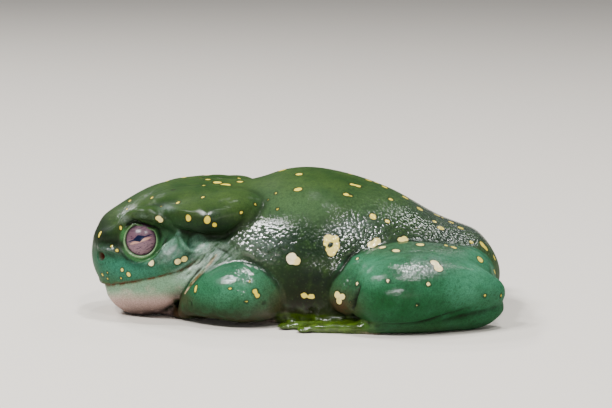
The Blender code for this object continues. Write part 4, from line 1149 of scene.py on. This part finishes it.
def frogSkinMaterial(w=wetSkin):
    # living frog skin, kept wet by mucus: soft colour under a clear film, so it glints in points
    made, tree, shader = newMaterial("wetFrogSkin", w["shader"])
    place = add(tree, "TexCoord", out="Object")
    masks = {}
    for layer, names in maskLayers.items():
        colour = add(tree, "Attribute", {"attribute_name": layer})
        red = add(tree, "SeparateColor", Color=colour)
        masks.update(zip(names, red.node.outputs))
    for name, (size, detail) in w["patterns"].items():
        masks[name] = add(tree, "TexNoise", Vector=place, Scale=1 / (size * metre),
                          Detail=detail, Roughness=w["noiseRoughness"])
    # streaks along the folds of the neck, which rise towards the back
    along = add(tree, "VectorRotate", {"rotation_type": "Y_AXIS"}, Vector=place,
                Angle=math.radians(w["strandRise"]))
    along = add(tree, "VectorMath", {"operation": "MULTIPLY"}, i0=along, i1=w["strandStretch"])
    size, detail = w["strands"]
    masks["strands"] = add(tree, "TexNoise", Vector=along, Scale=1 / (size * metre),
                           Detail=detail, Roughness=w["noiseRoughness"])
    masks["warts"] = add(tree, "TexVoronoi", Vector=place, Scale=1 / (w["wartSize"] * metre))
    tree.links.new(painted(tree, w["colours"], masks, w["paint"]), shader.inputs["Base Color"])

    # raised warts on the flank, strands on the neck, and fine grain everywhere
    broken = add(tree, "MapRange", {"interpolation_type": "SMOOTHSTEP"}, Value=masks["mottle"],
                 From_Min=w["wartBreak"][0], From_Max=w["wartBreak"][1])
    raised = add(tree, "Math", {"operation": "MULTIPLY"}, i0=masks["grain"], i1=broken)
    domes = add(tree, "Math", {"operation": "MULTIPLY"}, i0=masks["warts"], i1=masks["warts"])
    pores, film = (add(tree, "Math", {"operation": "MULTIPLY_ADD"}, i0=masks[mask],
                       i1=w[key][0], i2=w[key][1])
                   for mask, key in (("wrinkle", "poreStrength"), ("wet", "coat")))
    normal = add(tree, "Bump", {"invert": True}, Distance=w["wartBump"], Strength=raised,
                 Height=domes)
    for mask, key, strength in (("strands", "strandBump", masks["neck"]),
                                ("pore", "poreBump", pores)):
        normal = add(tree, "Bump", Strength=strength, Distance=w[key], Height=masks[mask],
                     Normal=normal)
    for socket, value in (("Normal", normal), ("Coat Normal", normal), ("Coat Weight", film)):
        tree.links.new(value, shader.inputs[socket])
    return made


skin.data.materials.append(frogSkinMaterial())
fleshNodes = [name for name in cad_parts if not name.startswith("eye_")]
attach(skin, "root")
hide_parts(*fleshNodes)
print("skin finished")


# Eyes.
eyes = {
    "rings": 64, "sides": 96, "slant": -19,                    # degrees
    "colours": {"iris": "#5f4651", "irisLow": "#745862", "irisPale": "#bb8c78",
                "vein": "#392735", "pupil": "#070f2c", "edge": "#2f222c"},
    # shapes about the pupil, mm: height of the middle, half height, half width and power
    "shapes": {"diamond": (0.45, 0.85, 1.75, 1), "line": (0.45, 0.15, 3.3, 4),
               "paleBelow": (-0.17, 0.42, 2.9, 4)},
    "veinStretch": (0.6, 2.4, 1.0), "veinScale": 1.6, "veinDetail": 5.0,
    "veinRoughness": 0.65, "veinBend": 0.6,
    "paint": [
        "iris",
        ("irisLow", 1, ("up", 0.6, -1.6)),
        ("vein", 1, ("veins", 0.5, 0.64)),
        ("irisPale", 0.8, ("paleBelow", 1.2, 0.3)),
        ("pupil", 1, ("line", 1.2, 0.8)),
        ("pupil", 1, ("diamond", 1.1, 0.92)),
        ("edge", 1, ("reach", 3.0, 3.7)),
    ],
    "shader": {"Roughness": 0.25, "Specular IOR Level": 0.2, "Coat Weight": 0.2,
               "Coat Roughness": 0.26},
}


def eyeBall(side, word):
    # a sphere about the eye's axis, which keeps each point's place across and up the gaze
    axis = np.array(face["eyeAxis"]) * (1, side, 1)
    axis = axis / np.linalg.norm(axis)
    across = np.cross((0, 0, 1), axis)
    across = across / np.linalg.norm(across) * side
    upward = np.cross(axis, across) * side
    polar = np.linspace(0, math.pi, eyes["rings"] + 2)[1:-1][:, None, None]
    angle = np.linspace(0, 2 * math.pi, eyes["sides"], endpoint=False)[None, :, None]
    centre = np.array(face["eyeAt"]) * (1, side, 1)
    r = face["eyeRadius"]
    rings = centre + r * (np.sin(polar) * np.cos(angle) * across
                          + np.sin(polar) * np.sin(angle) * upward + np.cos(polar) * axis)
    points, faces = closedShell(rings, centre + r * axis, centre - r * axis)
    made = meshObject("rough", points, faces)
    mesh = made.data
    bpy.data.objects.remove(made)
    bm = bmesh.new()
    bm.from_mesh(mesh)
    bmesh.ops.recalc_face_normals(bm, faces=bm.faces)
    bm.to_mesh(mesh)
    bm.free()
    away = points - centre
    addMasks(mesh, {"gaze": (away @ across, away @ upward, away @ axis)})
    ball = finishedPiece("eyeball_" + word, mesh, points)
    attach(ball, "root")
    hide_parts("eye_" + word)
    return ball


def eyeMaterial(e=eyes):
    # a frog's eye behind its clear cornea: veined iris, slit pupil, one soft glint
    made, tree, shader = newMaterial("wetFrogEye", e["shader"])
    gaze = add(tree, "Attribute", {"attribute_name": "gaze"})
    turned = add(tree, "VectorRotate", {"rotation_type": "Z_AXIS"}, Vector=gaze,
                 Angle=math.radians(e["slant"]))
    across = add(tree, "SeparateXYZ", Vector=turned)
    up = across.node.outputs["Y"]
    stretched = add(tree, "VectorMath", {"operation": "MULTIPLY"}, i0=turned,
                    i1=e["veinStretch"])
    flat = add(tree, "CombineXYZ", X=across, Y=up)
    masks = {
        "up": up,
        "reach": add(tree, "VectorMath", {"operation": "LENGTH"}, out="Value", i0=flat),
        "veins": add(tree, "TexNoise", Vector=stretched, Scale=e["veinScale"],
                     Detail=e["veinDetail"], Roughness=e["veinRoughness"],
                     Distortion=e["veinBend"]),
    }
    for name, (middle, high, wide, power) in e["shapes"].items():
        # |up - middle| / high + (|across| / wide) ^ power, which is 1 on the shape's edge
        terms = []
        for value, steps in ((up, (("SUBTRACT", middle), ("ABSOLUTE", 0), ("DIVIDE", high))),
                             (across, (("ABSOLUTE", 0), ("DIVIDE", wide), ("POWER", power)))):
            for operation, number in steps:
                value = add(tree, "Math", {"operation": operation}, i0=value, i1=number)
            terms.append(value)
        masks[name] = add(tree, "Math", {"operation": "ADD"}, i0=terms[0], i1=terms[1])
    tree.links.new(painted(tree, e["colours"], masks, e["paint"]), shader.inputs["Base Color"])
    return made


eyeFinish = eyeMaterial()
for side, word in ((1, "left"), (-1, "right")):
    eyeBall(side, word).data.materials.append(eyeFinish)
print("eyes made")


# Studio.
studio = {
    "floor": "#d9d2c8", "floorSize": 2.4, "floorRoughness": 0.75,
    "world": "#dfe4ea", "worldStrength": 0.2,
    # name, place, size and power; several, because wet skin glints on every side in the photo
    "lamps": [("key", (-0.35, -0.43, 0.71), 0.09, 4.9), ("left", (-0.50, -0.34, 0.68), 0.12, 4.2),
              ("side", (0.10, -0.54, 0.66), 0.60, 0.85), ("flank", (0.16, -0.57, 0.71), 0.10, 2.8),
              ("top", (0.15, -0.08, 0.87), 0.08, 4.8),
              ("over", (-0.01, 0.14, 0.87), 0.08, 1.8), ("snout", (-0.50, 0.36, 0.68), 0.12, 2.6),
              ("backRight", (0.42, 0.40, 0.60), 0.12, 0.8),
              ("backLeft", (-0.42, 0.66, 0.62), 0.10, 3.2),
              ("low", (-0.05, -0.80, 0.13), 0.05, 1.1)],
}


def makeStudio(s=studio):
    half = s["floorSize"] / 2
    floor = meshObject("floor", [(-half, -half, 0), (half, -half, 0), (half, half, 0),
                                 (-half, half, 0)], [(0, 1, 2, 3)])
    # a matt board of warm white under the frog
    board = newMaterial("plainFloor", {"Roughness": s["floorRoughness"],
                                       "Base Color": linear(s["floor"])})[0]
    floor.data.materials.append(board)
    for name, at, size, power in s["lamps"]:
        light = bpy.data.lights.new(name, "AREA")
        light.size = size
        light.energy = power
        lamp = bpy.data.objects.new(name, light)
        lamp.location = at
        lamp.rotation_mode = "QUATERNION"
        lamp.rotation_quaternion = (-Vector(at)).to_track_quat("-Z", "Y")
        bpy.context.scene.collection.objects.link(lamp)
    world = bpy.data.worlds.new("studio")
    world.use_nodes = True
    background = world.node_tree.nodes["Background"]
    background.inputs["Color"].default_value = linear(s["world"])
    background.inputs["Strength"].default_value = s["worldStrength"]
    bpy.context.scene.world = world


makeStudio()
print("studio lit")
